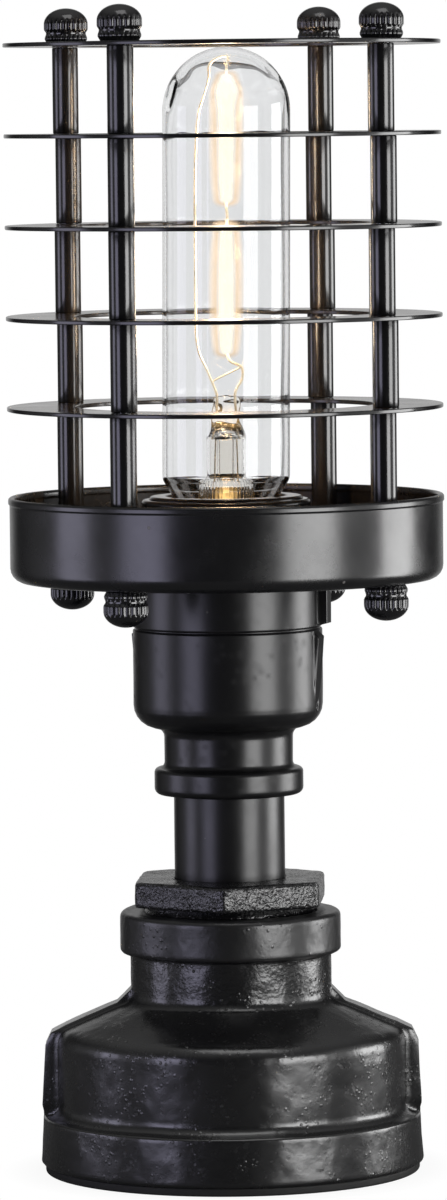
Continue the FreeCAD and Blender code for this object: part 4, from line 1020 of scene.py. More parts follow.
def faces_of(points: Array, start: int) -> tuple[Array, Array]:
    """Faces of a grid; a row that is one point is a pole.

    The columns join all round. The last row joins the first, unless the grid ends in a pole.
    Faces point outward where the outer wall's rows run up.

    Args:
        points: rows by columns by three, in millimetres.
        start: number of the grid's first corner in the whole mesh.

    Returns:
        Faces of four corners and faces of three.
    """
    ids = start + np.arange(points[..., 0].size).reshape(points.shape[:2])
    pole = np.abs(points - points[:, :1]).max(axis=(1, 2)) < 1e-7
    ids[pole] = ids[pole][:, :1]
    right = np.roll(ids, -1, axis=1)
    faces = np.stack((ids, right, np.roll(right, -1, axis=0), np.roll(ids, -1, axis=0)), axis=2)
    faces = (faces[:-1] if pole[0] or pole[-1] else faces).reshape(-1, 4)
    foot, head = faces[:, 0] == faces[:, 1], faces[:, 2] == faces[:, 3]
    triangles = np.concatenate((faces[foot & ~head][:, [0, 2, 3]],
                                faces[head & ~foot][:, [0, 1, 2]]))
    return faces[~foot & ~head], triangles


def smooth(mesh: bpy.types.Mesh, sharp: float) -> None:
    """Smooth shading, with edges sharp past an angle in degrees."""
    mesh.shade_smooth()
    mesh.set_sharp_from_angle(angle=math.radians(sharp))


def mesh_of(name: str, grids: Sequence[Array], sharp: float = 38.0) -> bpy.types.Mesh:
    """A smooth mesh of several grids, in metres.

    Args:
        name: the mesh's name.
        grids: its grids, in millimetres.
        sharp: angle in degrees past which an edge stays sharp.

    Returns:
        The mesh.
    """
    starts = np.cumsum([0] + [grid[..., 0].size for grid in grids])
    corners = np.concatenate([grid.reshape(-1, 3) for grid in grids]) * MM
    quads, triangles = map(np.concatenate, zip(*map(faces_of, grids, starts)))
    used = np.unique(np.concatenate((quads.ravel(), triangles.ravel())))
    renumber = np.zeros(len(corners), int)
    renumber[used] = np.arange(used.size)
    mesh = bpy.data.meshes.new(name)
    mesh.from_pydata(corners[used].tolist(), [],
                     renumber[quads].tolist() + renumber[triangles].tolist())
    mesh.update()
    smooth(mesh, sharp)
    return mesh


def add_object(name: str, content: bpy.types.ID) -> bpy.types.Object:
    """Puts a mesh, a lamp or a camera into the scene.

    Args:
        name: the object's name.
        content: what it shows.

    Returns:
        The object.
    """
    item = bpy.data.objects.new(name, content)
    bpy.context.scene.collection.objects.link(item)
    return item


def add_lamp(light: bpy.types.Light, place: Vector | Corner) -> bpy.types.Object:
    """Puts a lamp at its place, unseen by the camera and through glass.

    Args:
        light: its light.
        place: where it stands, in metres.

    Returns:
        The lamp's object.
    """
    item = add_object(light.name, light)
    item.location = place
    item.visible_camera = item.visible_transmission = False
    return item


def add_piece(name: str, shape: Sequence[Array] | bpy.types.Mesh, finish: Finish,
              replaces: Sequence[str], sharp: float = 38.0, body: Body = Body.LAMP) -> None:
    """Puts a piece of the lamp into the scene.

    Args:
        name: the piece's name.
        shape: its grids in millimetres, or its mesh, already in place.
        finish: its finish.
        replaces: the CAD nodes that it stands for.
        sharp: angle in degrees past which an edge of its grids stays sharp.
        body: the frame's body that it rides on.
    """
    mesh = shape if isinstance(shape, bpy.types.Mesh) else mesh_of(name, shape, sharp)
    mesh.materials.append(finish.material())
    piece = add_object(name, mesh)
    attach(piece, body.value)
    if replaces:
        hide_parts(*replaces)
    LOG.info("%s: %d faces, rides on %s", name, len(mesh.polygons), body.value)


def dress_nodes(finish: Finish, *nodes: str) -> None:
    """Gives CAD nodes that stay their material.

    Args:
        finish: the nodes' finish.
        *nodes: their names.
    """
    for node in nodes:
        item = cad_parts[node]
        if not item.material_slots:
            item.data.materials.append(finish.material())
        for material_slot in item.material_slots:
            material_slot.material = finish.material()
        LOG.info("%s: %s", node, finish.name)


# ---------------------------------------------------------------- foot and casting

@dataclass
class Foot:
    """Rubber pad, steel cover and the rubber grommet of the cord inlet."""

    pad_radius: float = 45.3
    pad_height: float = 2.0
    band_radius: float = 46.25
    inlet_height: float = 7.9
    sleeve_radius: float = 4.75
    flange_radius: float = 5.6
    bore_radius: float = 3.2
    inner_end: float = 36.35
    outer_end: float = 47.6

    def build(self) -> None:
        """Builds the pad and grommet and dresses the cover."""
        pad = profile([
            (0, 0, 0), (self.pad_radius, 0, 0.5), (self.pad_radius, self.pad_height, 0.4),
            (0, self.pad_height, 0)], 3.0, closed=False)
        add_piece("rubber_foot_pad", [turned(pad, 200)], Finishes.rubber, ["foot_pad"])
        add_piece("rubber_cord_grommet", [self.grommet()], Finishes.rubber, ["cord_grommet"])
        dress_nodes(Finishes.zinc, "bottom_cover")

    def grommet(self) -> Array:
        """Turned about the inlet's axis; rows on the band move in by R - sqrt(R^2 - x^2).

        Returns:
            The grommet's grid.
        """
        seat, bore = self.band_radius, self.bore_radius
        outline = refined(rounded([
            (bore, self.inner_end, 0.3), (self.sleeve_radius, self.inner_end, 0.3),
            (self.sleeve_radius, seat, 0), (self.flange_radius, seat, 0.1),
            (self.flange_radius, self.outer_end, 0.7), (bore, self.outer_end, 0.5)])[::-1], 0.8)
        x, z, y = np.moveaxis(turned(outline, 72), 2, 0)
        follow = smoothstep(seat - 1.0, seat - 0.2, y)
        return np.stack((x, y - follow * (seat - np.sqrt(seat**2 - x**2)), self.inlet_height + z),
                        axis=2)


@dataclass
class BaseCasting:
    """The cast reducing coupling: wide band, body with two ribs, shoulder, neck and small band."""

    foot: float = 2.0
    band: tuple[float, float] = (46.2, 45.7)
    band_top: float = 13.8
    body_radius: float = 42.2
    shoulder_edge: float = 34.0
    neck_radius: float = 24.4
    neck_foot: float = 41.6
    collar_radius: float = 26.7
    collar_foot: float = 52.9
    top: float = 63.0
    thread_radius: float = 21.05
    thread_end: float = 38.0
    bore_radius: float = 36.5
    bore_top: float = 31.4
    rib_marks: Marks = (
        ((45.6, 13.6), (45.65, 13.7)), ((44.2, 14.1), (45.6, 14.9)), ((42.2, 17.2), (45.9, 16.4)),
        ((42.2, 30.5), (45.0, 31.0)), ((41.0, 34.1), (43.6, 34.0)), ((38.6, 35.6), (40.0, 35.9)),
        ((27.4, 40.4), (27.6, 41.1)), ((24.4, 44.4), (24.4, 44.4)))
    rib_azimuths: tuple[float, float] = (0.0, 180.0)
    rib_half_width: float = 4.0
    rib_foot: float = 13.9
    rib_rounding: float = 3.0
    rib_slope: float = 0.35
    dense: Spans = ((-11, 11), (-180, -169), (169, 180))
    lumps: Waves = ((3, 11.0, 0.22), (5, 4.0, 0.06), (8, 1.6, 0.03))
    inlet_radius: float = 4.8
    inlet_height: float = 7.9
    drill: tuple[float, float] = (30.0, 60.0)
    sharp: float = 50.0

    def outline(self) -> Array:
        """Outside from the foot up, then down the bore.

        Returns:
            The outline.
        """
        return profile([
            (self.bore_radius, self.foot, 0.2), (self.band[0], self.foot, 0.8),
            (self.band[1], self.band_top, 0.75), (self.body_radius, self.band_top + 0.1, 2.6),
            (self.body_radius, self.shoulder_edge, 4.0), (self.neck_radius, self.neck_foot, 3.0),
            (self.neck_radius, self.collar_foot, 0.5), (self.collar_radius, self.collar_foot, 1.3),
            (self.collar_radius, self.top, 1.3), (self.thread_radius, self.top, 0.3),
            (self.thread_radius, self.thread_end, 0), (self.bore_radius, self.bore_top, 0)], 0.75)

    def rib_width(self, height: Array) -> Array:
        """Half the rib's width: w (0.65 sqrt(1 - (1 - t)^2) + 0.35), t rising from its foot."""
        rise = np.clip((height - self.rib_foot) / self.rib_rounding, 0, 1)
        return self.rib_half_width * (np.sqrt(1 - (1 - rise) ** 2) * 0.65 + 0.35)

    def build(self) -> None:
        """Builds the casting with a rib on each side, and cuts the cord inlet through its band."""
        outline = self.outline()
        points = turned(outline, dense_columns(self.dense, 0.25, 0.75))
        for azimuth in self.rib_azimuths:
            points = raise_rib(points, outline, azimuth, self.rib_marks, self.rib_width,
                               self.rib_slope)
        radius, height = outline[:, :1], outline[:, 1:2]
        outside = (radius > self.neck_radius - 1) & (height > self.foot + 0.3)
        points = lumpy(points, self.lumps, outside)
        mesh = self.pierced(mesh_of("cast_base", [points], self.sharp))
        smooth(mesh, self.sharp)
        add_piece("cast_base", mesh, Finishes.base, ["base_band", "base_reducer"])

    def pierced(self, mesh: bpy.types.Mesh) -> bpy.types.Mesh:
        """The casting with the inlet's round hole cut through its band at the back.

        Args:
            mesh: the whole casting.

        Returns:
            A new mesh with the hole.
        """
        (start, stop), wide = self.drill, self.inlet_radius
        outline = np.array([(0, start), (wide, start), (wide, stop), (0, stop)])
        up, across, along = np.moveaxis(turned(outline, 64), 2, 0)
        grid = np.stack((across, along, up + self.inlet_height), axis=2)
        tool = add_object("inlet_drill", mesh_of("inlet_drill", [grid]))
        blank = add_object("casting_blank", mesh)
        cut = blank.modifiers.new("inlet", "BOOLEAN")
        cut.operation, cut.object, cut.solver = "DIFFERENCE", tool, "EXACT"
        graph = bpy.context.evaluated_depsgraph_get()
        result = bpy.data.meshes.new_from_object(blank.evaluated_get(graph))
        for item in (tool, blank):
            bpy.data.objects.remove(item)
        result.name = "cast_base"
        return result


# ---------------------------------------------------------------- bushing, pipe and cup

@dataclass
class Bushing:
    """The hexagon bushing with its helical thread."""

    flats: float = 44.5
    corner_limit: float = 25.35
    front_corner: float = -94.0
    foot: float = 48.0
    hex_foot: float = 64.75
    hex_top: float = 71.05
    thread_radius: float = 20.98
    thread_depth: float = 0.75
    pitch: float = 2.2
    bore_radius: float = 13.4
    lumps: Waves = ((11, 4.0, 0.1), (12, 1.6, 0.05))

    def rows(self) -> tuple[Array, ...]:
        """Rows between the section's corners, spaced as a + (b - a) k / n.

        Returns:
            Share of the hexagon, plain radius, inset of the hexagon and height, a column each.
        """
        bore, thread, low, top = self.bore_radius, self.thread_radius, self.hex_foot, self.hex_top
        corners = np.array([
            (0, bore, 0, self.foot, 6), (0, thread - 0.5, 0, self.foot, 2),
            (0, thread, 0, self.foot + 0.5, 30), (0, thread, 0, low, 8), (1, 0, 0.7, low, 2),
            (1, 0, 0.2, low + 0.15, 3), (1, 0, 0, low + 0.6, 10), (1, 0, 0, top - 0.9, 3),
            (1, 0, 0.25, top - 0.3, 3), (1, 0, 0.9, top - 0.02, 3), (1, 0, 2.5, top, 8),
            (0, bore + 0.9, 0, top, 2), (0, bore, 0, top - 0.5, 10)])
        rows = np.concatenate([
            start[:4]
            + np.linspace(0, 1, int(start[4]), endpoint=False)[:, None] * (stop - start)[:4]
            for start, stop in zip(corners, np.roll(corners, -1, axis=0))])
        return tuple(rows[:, index:index + 1] for index in range(4))

    def build(self) -> None:
        """Builds the bushing.

        The hexagon's radius is h / cos(c), with c the angle from the nearest flat's middle and h
        half the width across flats, blended with the corner limit by a soft minimum. A row's
        radius is (1 - s) r + s (hexagon - inset), and thread rows lose a helical wave of their
        radius.
        """
        share, plain, inset, height = self.rows()
        angles, sixth = round_columns(540), math.pi / 3
        local = (angles - math.radians(self.front_corner + 30) + sixth / 2) % sixth - sixth / 2
        middle, firm = 24, 3
        side = sum(np.exp(-firm * (limit - middle))
                   for limit in (self.flats / 2 / np.cos(local), self.corner_limit))
        side = -np.log(side) / firm + middle
        radius = (1 - share) * plain + share * (side - inset)
        on_thread = ((share == 0) & (plain > self.thread_radius - 0.1)
                     & (height < self.hex_foot - 0.05))
        radius = radius - on_thread * self.thread_depth * helix(height, self.pitch, angles)
        points = lumpy(polar(radius, angles, height), self.lumps, share > 0.2)
        add_piece("hexagon_bushing", [points], Finishes.hexagon, ["hex_bushing"], sharp=45)


@dataclass
class PipeNipple:
    """The short pipe between the bushing and the cup."""

    radius: float = 13.35
    bore: float = 10.45
    foot: float = 57.9
    top: float = 104.3
    lumps: Waves = ((21, 9.0, 0.02),)

    def build(self) -> None:
        """Builds the pipe with eased ends and a slightly uneven wall."""
        outline = sleeve((self.bore, self.radius), (self.foot, self.top), (0.3, 0.5, 0.5, 0.3), 1.2)
        points = lumpy(turned(outline, 144), self.lumps)
        add_piece("short_pipe", [points], Finishes.pipe_paint, ["pipe_nipple"])


@dataclass
class Cup:
    """The cast cup that carries the pan: collar, neck, bowl, groove, band, lugs and ribs."""

    foot: float = 91.3
    collar_radius: float = 18.0
    collar_top: float = 97.6
    neck_radius: float = 15.5
    bowl_foot: float = 107.9
    bowl_radius: float = 22.85
    bowl_top: float = 131.25
    groove_radius: float = 22.3
    groove_top: float = 131.85
    band_radius: float = 22.9
    top: float = 143.0
    bore: float = 19.45
    seat: float = 112.5
    neck_bore: float = 11.0
    pipe_bore: float = 13.4
    pipe_stop: float = 104.4
    lug_azimuths: tuple[float, float] = (-14.0, 166.0)
    rib_azimuths: tuple[float, float] = (-20.0, 160.0)
    lug_marks: Marks = (
        ((22.9, 132.3), (23.0, 132.2)), ((22.9, 132.9), (25.2, 132.7)),
        ((22.9, 142.2), (25.2, 142.3)), ((22.7, 143.0), (24.9, 142.95)),
        ((21.2, 143.0), (21.2, 143.0)))
    rib_marks: Marks = (
        ((22.2, 112.2), (22.2, 112.2)), ((22.8, 114.1), (22.75, 114.1)),
        ((22.85, 129.6), (24.0, 129.6)), ((22.85, 130.3), (23.3, 130.3)))
    lug_half_width: float = 2.4
    rib_half_width: float = 2.2
    lug_slope: float = 0.22
    rib_slope: float = 0.3
    dense: Spans = ((-30, -5), (150, 175))
    lumps: Waves = ((31, 12.0, 0.07), (32, 4.0, 0.018))

    def outline(self) -> Array:
        """Outside from the collar up, then down the inside.

        Returns:
            The outline.
        """
        collar, neck, bowl, groove = (self.collar_radius, self.neck_radius, self.bowl_radius,
                                      self.groove_radius)
        return profile([
            (self.pipe_bore, self.foot, 0.2), (collar, self.foot, 1.6),
            (collar, self.collar_top, 1.1), (neck, self.collar_top + 0.2, 1.5),
            (neck, self.bowl_foot - 0.9, 2.2), (bowl, self.bowl_foot + 0.7, 5.6),
            (bowl, self.bowl_top, 0.45), (groove, self.bowl_top + 0.1, 0.2),
            (groove, self.groove_top - 0.1, 0.2), (self.band_radius, self.groove_top, 0.45),
            (self.band_radius, self.top, 0.3), (self.bore, self.top, 0.2),
            (self.bore, self.seat, 3.2), (self.neck_bore, self.seat, 0.3),
            (self.neck_bore, self.pipe_stop, 0), (self.pipe_bore, self.pipe_stop, 0)], 0.7)

    def rib_width(self, height: Array) -> Array:
        """Half the rib's width, which comes to a blunt point at the lower end."""
        return self.rib_half_width * (0.35 + 0.65 * smoothstep(112.4, 119, height))

    def lug_width(self, height: Array) -> Array:
        """Half the lug's width, the same all the way up."""
        return np.full_like(height, self.lug_half_width)

    def build(self) -> None:
        """Builds the cup with a lug on its band and a rib on its bowl, on two opposite sides."""
        outline = self.outline()
        points = turned(outline, dense_columns(self.dense, 0.4, 1.2))
        for azimuths, marks, width, slope in (
                (self.lug_azimuths, self.lug_marks, self.lug_width, self.lug_slope),
                (self.rib_azimuths, self.rib_marks, self.rib_width, self.rib_slope)):
            for azimuth in azimuths:
                points = raise_rib(points, outline, azimuth, marks, width, slope)
        radius, height = outline[:, :1], outline[:, 1:2]
        outside = ((radius > self.neck_radius - 0.5) & (height < self.top - 0.5)
                   & ~((radius < self.bore + 0.1) & (height > self.seat)))
        points = lumpy(points, self.lumps, outside)
        add_piece("cast_cup", [points], Finishes.cup, ["socket_cup"], sharp=45)


# ---------------------------------------------------------------- pan and cage

@dataclass
class Pan:
    """The pressed pan: flat floor, upright wall and a rolled rim."""

    radius: float = 52.15
    foot: float = 143.0
    top: float = 163.4
    sheet: float = 1.0
    hole: float = 18.6
    rim_proud: float = 0.32
    rim_lip: float = 0.15
    lumps: Waves = ((41, 26.0, 0.03),)

    def build(self) -> None:
        """Builds the pan."""
        outer, inner, top, floor = (self.radius, self.radius - self.sheet, self.top,
                                    self.foot + self.sheet)
        rim, lip = outer + self.rim_proud, inner - self.rim_lip
        outline = profile([
            (self.hole, self.foot, 0.1), (outer, self.foot, 3.4), (outer, top - 1.9, 0.5),
            (rim, top - 1.5, 0.3), (rim, top, 0.75), (lip, top, 0.75), (lip, top - 1.5, 0.3),
            (inner, top - 1.9, 0.5), (inner, floor, 2.4), (self.hole, floor, 0.1)], 1.6)
        points = lumpy(turned(outline, 300), self.lumps)
        points[..., 2] = np.maximum(points[..., 2], self.foot)
        add_piece("pressed_pan", [points], Finishes.paint, ["pan"], sharp=50)


@dataclass
class Cage:
    """Five flat rings, four rods in spacer tubes, and fluted cap nuts at both ends."""

    floor: float = 144.0
    first_gap: float = 40.1
    ring_gap: float = 20.8
    ring_sheet: float = 1.0
    ring_radius: float = 52.48
    ring_hole: float = 36.0
    ring_wave: float = 0.06
    rings: int = 5
    rods: int = 4
    rod_circle: float = 44.7
    rod_turn: float = -32.3
    spacer_radius: float = 3.15
    spacer_wall: float = 0.6
    spacer_play: float = 0.35
    nut_radius: float = 5.35
    nut_height: float = 8.6
    nut_band: float = 2.3
    nut_hole: float = 2.0
    dome_foot: float = 4.7
    flutes: int = 24
    flute_depth: float = 0.42

    def ring_foot(self, tier: int) -> float:
        """Height of the underside of a ring; tier 1 is the lowest."""
        return self.floor + self.first_gap + (tier - 1) * (self.ring_gap + self.ring_sheet)

    def rod_place(self, index: int) -> Array:
        """Where a rod's axis stands."""
        return on_circle(self.rod_circle, math.radians(self.rod_turn + 90 * index))

    def ring(self, tier: int) -> Array:
        """A flat ring whose height waves a little: z + h sin(2 a + p).

        Args:
            tier: its number, 1 for the lowest.

        Returns:
            The ring's grid.
        """
        foot, angles = self.ring_foot(tier), round_columns(240)
        points = turned(sleeve((self.ring_hole, self.ring_radius), (foot, foot + self.ring_sheet),
                               (0.25,) * 4, 3.0, steps=5), angles)
        points[..., 2] += self.ring_wave * np.sin(2 * angles + 1.9 * tier)
        return points

    def spacer(self, tier: int, index: int) -> Array:
        """A tube a little off its rod's axis, with eased ends.

        Args:
            tier: the tier that it stands in, 1 for the lowest.
            index: number of its rod.

        Returns:
            The tube's grid.
        """
        foot = self.floor if tier == 1 else self.ring_foot(tier - 1) + self.ring_sheet
        outline = sleeve((self.spacer_radius - self.spacer_wall, self.spacer_radius),
                         (foot, self.ring_foot(tier)), (0.1, 0.28, 0.28, 0.1), 7.0, steps=4)
        lean = math.radians(137.5 * (self.rods * tier + index))
        return turned(outline, 36) + (self.rod_place(index) + on_circle(self.spacer_play, lean))

    def nut(self, index: int, seat: float, way: int) -> Array:
        """A cap nut: seat band, groove, flutes that fade out below a smooth dome.

        On the fluted rows the radius is less by depth (1 - |sin(n a / 2)|) squared.

        Args:
            index: number of its rod.
            seat: height of the face that it stands on.
            way: 1 for a nut that stands up, -1 for one that hangs.

        Returns:
            The nut's grid.
        """
        band, wide = self.nut_band, self.nut_radius
        lower = rounded([
            (self.nut_hole, 0, 0), (wide - 0.75, 0, 0.3), (wide - 0.1, band / 2, 0.9),
            (wide - 0.5, band, 0.3), (wide - 0.5, band + 0.35, 0.2), (wide, band + 1.1, 0.9),
            (wide, 4.6, 0)], closed=False, steps=5)
        crown = dome(wide, self.dome_foot, self.nut_height - self.dome_foot, 22)
        outline = refined(np.concatenate((lower, crown)), 0.45, closed=False)
        outline[-1, 0] = 0
        radius, height, angles = outline[:, :1], outline[:, 1:2], round_columns(self.flutes * 8)
        fluted = (within(band + 0.3, band + 0.9, 5.1, 6.3, height)
                  + 0.8 * within(0.1, 0.5, band - 0.3, band, height))
        wave = (1 - np.abs(np.sin(self.flutes / 2 * angles + index))) ** 2
        points = polar(radius - self.flute_depth * wave * fluted, angles, way * height)
        points[..., 1] *= way
        return points + self.rod_place(index) + (0, 0, seat)

    def build(self) -> None:
        """Builds rings, spacers and nuts, and dresses the rods."""
        rods = range(self.rods)
        for tier in range(1, self.rings + 1):
            add_piece(f"flat_ring_{tier}", [self.ring(tier)], Finishes.ring_paint,
                      [f"guard_ring_{tier}"], sharp=50)
            add_piece(f"spacer_tubes_{tier}", [self.spacer(tier, index) for index in rods],
                      Finishes.spacer_paint, [f"spacer_tier_{tier}"], sharp=50)
        top = self.ring_foot(self.rings) + self.ring_sheet
        for name, node, seat, way in (
                ("cap_nuts_upper", "acorn_nuts_top", top, 1),
                ("cap_nuts_lower", "acorn_nuts_bottom", self.floor - 1.0, -1)):
            add_piece(name, [self.nut(index, seat, way) for index in rods], Finishes.nut_paint,
                      [node], sharp=60)
        dress_nodes(Finishes.zinc, *(f"tie_rod_{index + 1}" for index in rods))


# ---------------------------------------------------------------- socket

@dataclass
class Socket:
    """The insulating barrel with its two rings, and the fittings under it."""

    radius: float = 18.5
    lower_radius: float = 19.25
    bore: float = 14.3
    foot: float = 128.0
    seat: float = 131.0
    flange_top: float = 143.0
    top: float = 163.3
    thread_foot: float = 147.5
    thread_end: tuple[float, float] = (160.9, 162.0)
    thread_pitch: float = 2.4
    thread_depth: float = 0.45
    ring_clearance: float = 0.06
    clamp: tuple[float, float, float] = (21.5, 144.0, 147.0)
    shade: tuple[float, float, float] = (20.4, 159.9, 162.5)

    def barrel(self) -> Array:
        """The barrel; on the outside above the pan the radius loses a helical wave.

        Returns:
            The barrel's grid.
        """
        outline = profile([
            (0, self.foot, 0), (self.lower_radius, self.foot, 0.5),
            (self.lower_radius, self.flange_top, 0.2), (self.radius, self.flange_top + 0.05, 0),
            (self.radius, self.top, 0.8), (self.bore, self.top, 0.8), (self.bore, self.seat, 0.5),
            (0, self.seat, 0)], 0.5, closed=False)
        angles, radius, height = round_columns(180), outline[:, :1], outline[:, 1:2]
        outside = (radius > self.radius - 0.3) & (height > self.thread_foot)
        cut = outside * (1 - smoothstep(*self.thread_end, height)) * self.thread_depth
        cut = cut * helix(height, self.thread_pitch, angles)
        points = turned(outline, angles)
        points[..., :2] *= (1 - cut / np.maximum(radius, 1))[..., None]
        return points

    def collar(self, sizes: tuple[float, float, float]) -> Array:
        """A smooth screwed ring with eased edges.

        Args:
            sizes: its radius, foot and top.

        Returns:
            The ring's grid.
        """
        outer, foot, top = sizes
        return turned(sleeve((self.radius + self.ring_clearance, outer), (foot, top),
                             (0.1, 0.6, 0.9, 0.15), 0.6), 180)

    def build(self) -> None:
        """Builds barrel and rings and dresses the fittings."""
        add_piece("socket_barrel_piece", [self.barrel()], Finishes.phenolic, ["socket_barrel"],
                  sharp=45)
        for node, sizes in (("clamp_ring", self.clamp), ("shade_ring", self.shade)):
            add_piece(f"{node}_piece", [self.collar(sizes)], Finishes.phenolic, [node])
        dress_nodes(Finishes.phenolic, "socket_base_cap")
        dress_nodes(Finishes.brass, "screw_shell", "centre_contact", "terminal_plates",
                    "terminal_screws")
        dress_nodes(Finishes.zinc, "socket_screws", "lamp_nipple", "seating_washer", "lock_nuts")
        dress_nodes(Finishes.insulation, "socket_leads")
        dress_nodes(Finishes.nylon, "wire_connectors")


# ---------------------------------------------------------------- bulb

@dataclass
class Bulb:
    """The tubular bulb: glass, stem, wires, two glowing sticks and its screw cap."""

    radius: float = 15.35
    wall: float = 0.9
    lumps: Waves = ((51, 11.0, 0.08), (52, 4.5, 0.36))
    neck_radius: float = 11.9
    neck_foot: float = 155.5
    cap_top: float = 162.0
    shoulder: float = 167.0
    dome_top: float = 271.0
    stem_top: float = 179.5
    stem_radius: float = 4.7
    stem_wall: float = 0.8
    stem_foot_radius: float = 10.9
    stem_ridges: int = 40
    ridge_share: float = 0.012
    exhaust_radius: float = 2.2
    exhaust_bore: float = 1.6
    pinch_top: float = 187.5
    pinch_sizes: tuple[float, float] = (3.3, 1.5)
    stick_radius: float = 1.65
    stick_end: float = 0.06
    halo_radius: float = 4.6
    halo_reach: float = 1.5
    stick_spans: tuple[tuple[float, float], ...] = ((197.1, 228.6), (233.4, 264.9))
    wire_radius: float = 0.33
    cap_radius: float = 13.0
    cap_foot: float = 137.7
    thread_pitch: float = 3.63
    thread_depth: float = 0.45
    lean: float = 0.0104

    def leaning(self, points: Array) -> Array:
        """Glass that leans a little in its cap: x + k (z - c) above the cap's top c."""
        rise = np.maximum(points[..., 2:] - self.cap_top, 0)
        return points + self.lean * rise * np.array((1.0, 0.0, 0.0))

    def envelope(self) -> Array:
        """Outside up the wall and over the dome, then the inside down again.

        The wall's thickness varies a little with direction and height.

        Returns:
            The envelope's grid.
        """
        outer, centre = self.radius, self.dome_top - self.radius
        lower = profile([
            (self.neck_radius, self.neck_foot, 0), (self.neck_radius, self.cap_top - 0.4, 1.2),
            (13.3, self.cap_top + 1.9, 2.0), (outer, self.shoulder + 0.3, 3.0), (outer, 186, 0)],
            1.2, closed=False)
        upper = refined(np.array([(outer, 187.0), (outer, centre - 1)]), 5.0, closed=False)
        outside = np.concatenate((lower, upper, dome(outer, centre, outer, 26)))
        thin = self.wall * (1 + 0.25 * smoothstep(centre, self.dome_top, outside[:, 1]))
        slope = np.gradient(outside, axis=0)
        slope /= np.linalg.norm(slope, axis=1, keepdims=True)
        inside = outside - np.stack((slope[:, 1], -slope[:, 0]), axis=1) * thin[:, None]
        inside[-1, 0] = outside[-1, 0] = 0
        inside[:, 0] = np.maximum(inside[:, 0], 0)
        points = turned(np.concatenate((outside, inside[::-1])), 128)
        inner = points[len(outside):]
        high = within(centre - 5, centre + 4, centre + 5, centre + 14, inner[..., 2])
        wide, small = (lump_field(inner, seed, cell) * tall for seed, cell, tall in self.lumps)
        wave = (wide + small * high) / (outer - self.wall) * (inside[::-1, :1] > 1)
        inner[..., :2] *= (1 + wave)[..., None]
        return points

    def stem(self) -> list[Array]:
        """The flared foot with its ridges and the tube on it, and the exhaust tube inside.

        Returns:
            Their grids.
        """
        foot, low, flare = self.neck_foot, self.shoulder, self.stem_foot_radius
        outer, inner = self.stem_radius, self.stem_radius - self.stem_wall
        angles = round_columns(160)
        tube = turned(profile([
            (flare - 0.9, foot, 0), (flare, foot, 0), (flare - 0.3, foot + 1.8, 1.2),
            (6.9, foot + 4, 2), (6.6, self.cap_top + 2.5, 2), (6.5, low - 0.4, 0.8),
            (outer, low + 0.6, 1.4), (outer, self.stem_top - 2, 0), (inner, self.stem_top - 2, 0),
            (inner, low + 0.1, 1.4), (5.7, low - 0.9, 0.8), (5.8, self.cap_top + 2.1, 1),
            (6.1, foot + 4.4, 2), (flare - 1.3, foot + 1.0, 1)], 0.9), angles)
        fade = 1 - smoothstep(low - 1.2, low - 0.2, tube[..., 2])
        ridges = fade * np.cos(self.stem_ridges * angles)
        tube[..., :2] *= (1 + self.ridge_share * ridges)[..., None]
        outer, inner = self.exhaust_radius, self.exhaust_bore
        return [tube, turned(profile([
            (inner, foot + 2, 0.1), (outer, foot + 2, 0.2), (outer, self.stem_top - 1.5, 0.4),
            (0.3, self.stem_top - 1.5, 0.2), (0.3, self.stem_top - 2.2, 0.2),
            (inner, self.stem_top - 2.4, 0.2)], 1.5), 32)]

    def pinch(self) -> Array:
        """The flattened top of the stem: a turned column whose x and y are scaled apart.

        Returns:
            The pinch's grid.
        """
        rise, angles = np.linspace(0, 1, 24)[:, None], round_columns(48)
        height = self.stem_top - 3 + rise * (self.pinch_top - self.stem_top + 3)
        closing = smoothstep(0.0, 0.45, rise)
        end = np.sqrt(np.clip(1 - np.clip((rise - 0.93) / 0.07, 0, 1) ** 2, 0, 1))
        end = np.where(rise == 0, 0, end)
        uneven = 1 + 0.12 * np.sin(3 * angles + 9 * rise) * np.sin(math.pi * rise)
        x, y = ((self.stem_radius + (size - self.stem_radius) * closing) * end * uneven * wave
                for size, wave in zip(self.pinch_sizes, (np.cos(angles), np.sin(angles))))
        return np.stack((x, y, np.broadcast_to(height, x.shape)), axis=2)

    def wires(self) -> list[Array]:
        """Support wire on the left with its hook over the sticks, lead, crossed lead, link, tails.

        Returns:
            Their grids.
        """
        (low, middle), (upper, high) = self.stick_spans
        root, thin = self.pinch_top - 4, 0.6 * self.wire_radius
        routes = [
            (self.wire_radius, 110, (
                (-2.2, 0, root), (-2.3, 0, self.pinch_top), (-4.4, 0, 193), (-6.9, 0, 199.5),
                (-7.4, 0, 212), (-7.5, 0, 228), (-7.5, 0, 243), (-6.9, 0, 253.5), (-5.9, 0, 258.5),
                (-4.5, 0, 263.6), (-4.2, 0, 266.4), (-2.6, 0, 268.2), (-0.2, 0, 268.9),
                (0.5, 0, 268.2), (0.1, 0, 266.6), (0, 0, high - 1))),
            (self.wire_radius, 40, (
                (2.2, 0, root), (2.2, 0, self.pinch_top + 0.5), (3.9, 0, 191.5), (3.6, 0, 194.2),
                (1.0, 0, 195.6), (0, 0, low + 1))),
            (0.7 * self.wire_radius, 16, (
                (-3.6, 0.5, 190.6), (-1.2, 0.6, 191.9), (1.6, 0.6, 193.2), (3.9, 0.4, 194.4))),
            (self.wire_radius, 16, (
                (0, 0, middle - 1), (0.25, 0, 230.4), (0.1, 0, 232), (0, 0, upper + 1)))]
        routes += [(thin, 24, (
            (2.4 * side, 0, self.stem_top - 0.5), (2.7 * side, 0.2, 172), (2.9 * side, 0.1, 165),
            (3.1 * side, 0, 158))) for side in (-1, 1)]
        return [tube_along(smooth_path(knots, count), radius, 10)
                for radius, count, knots in routes]

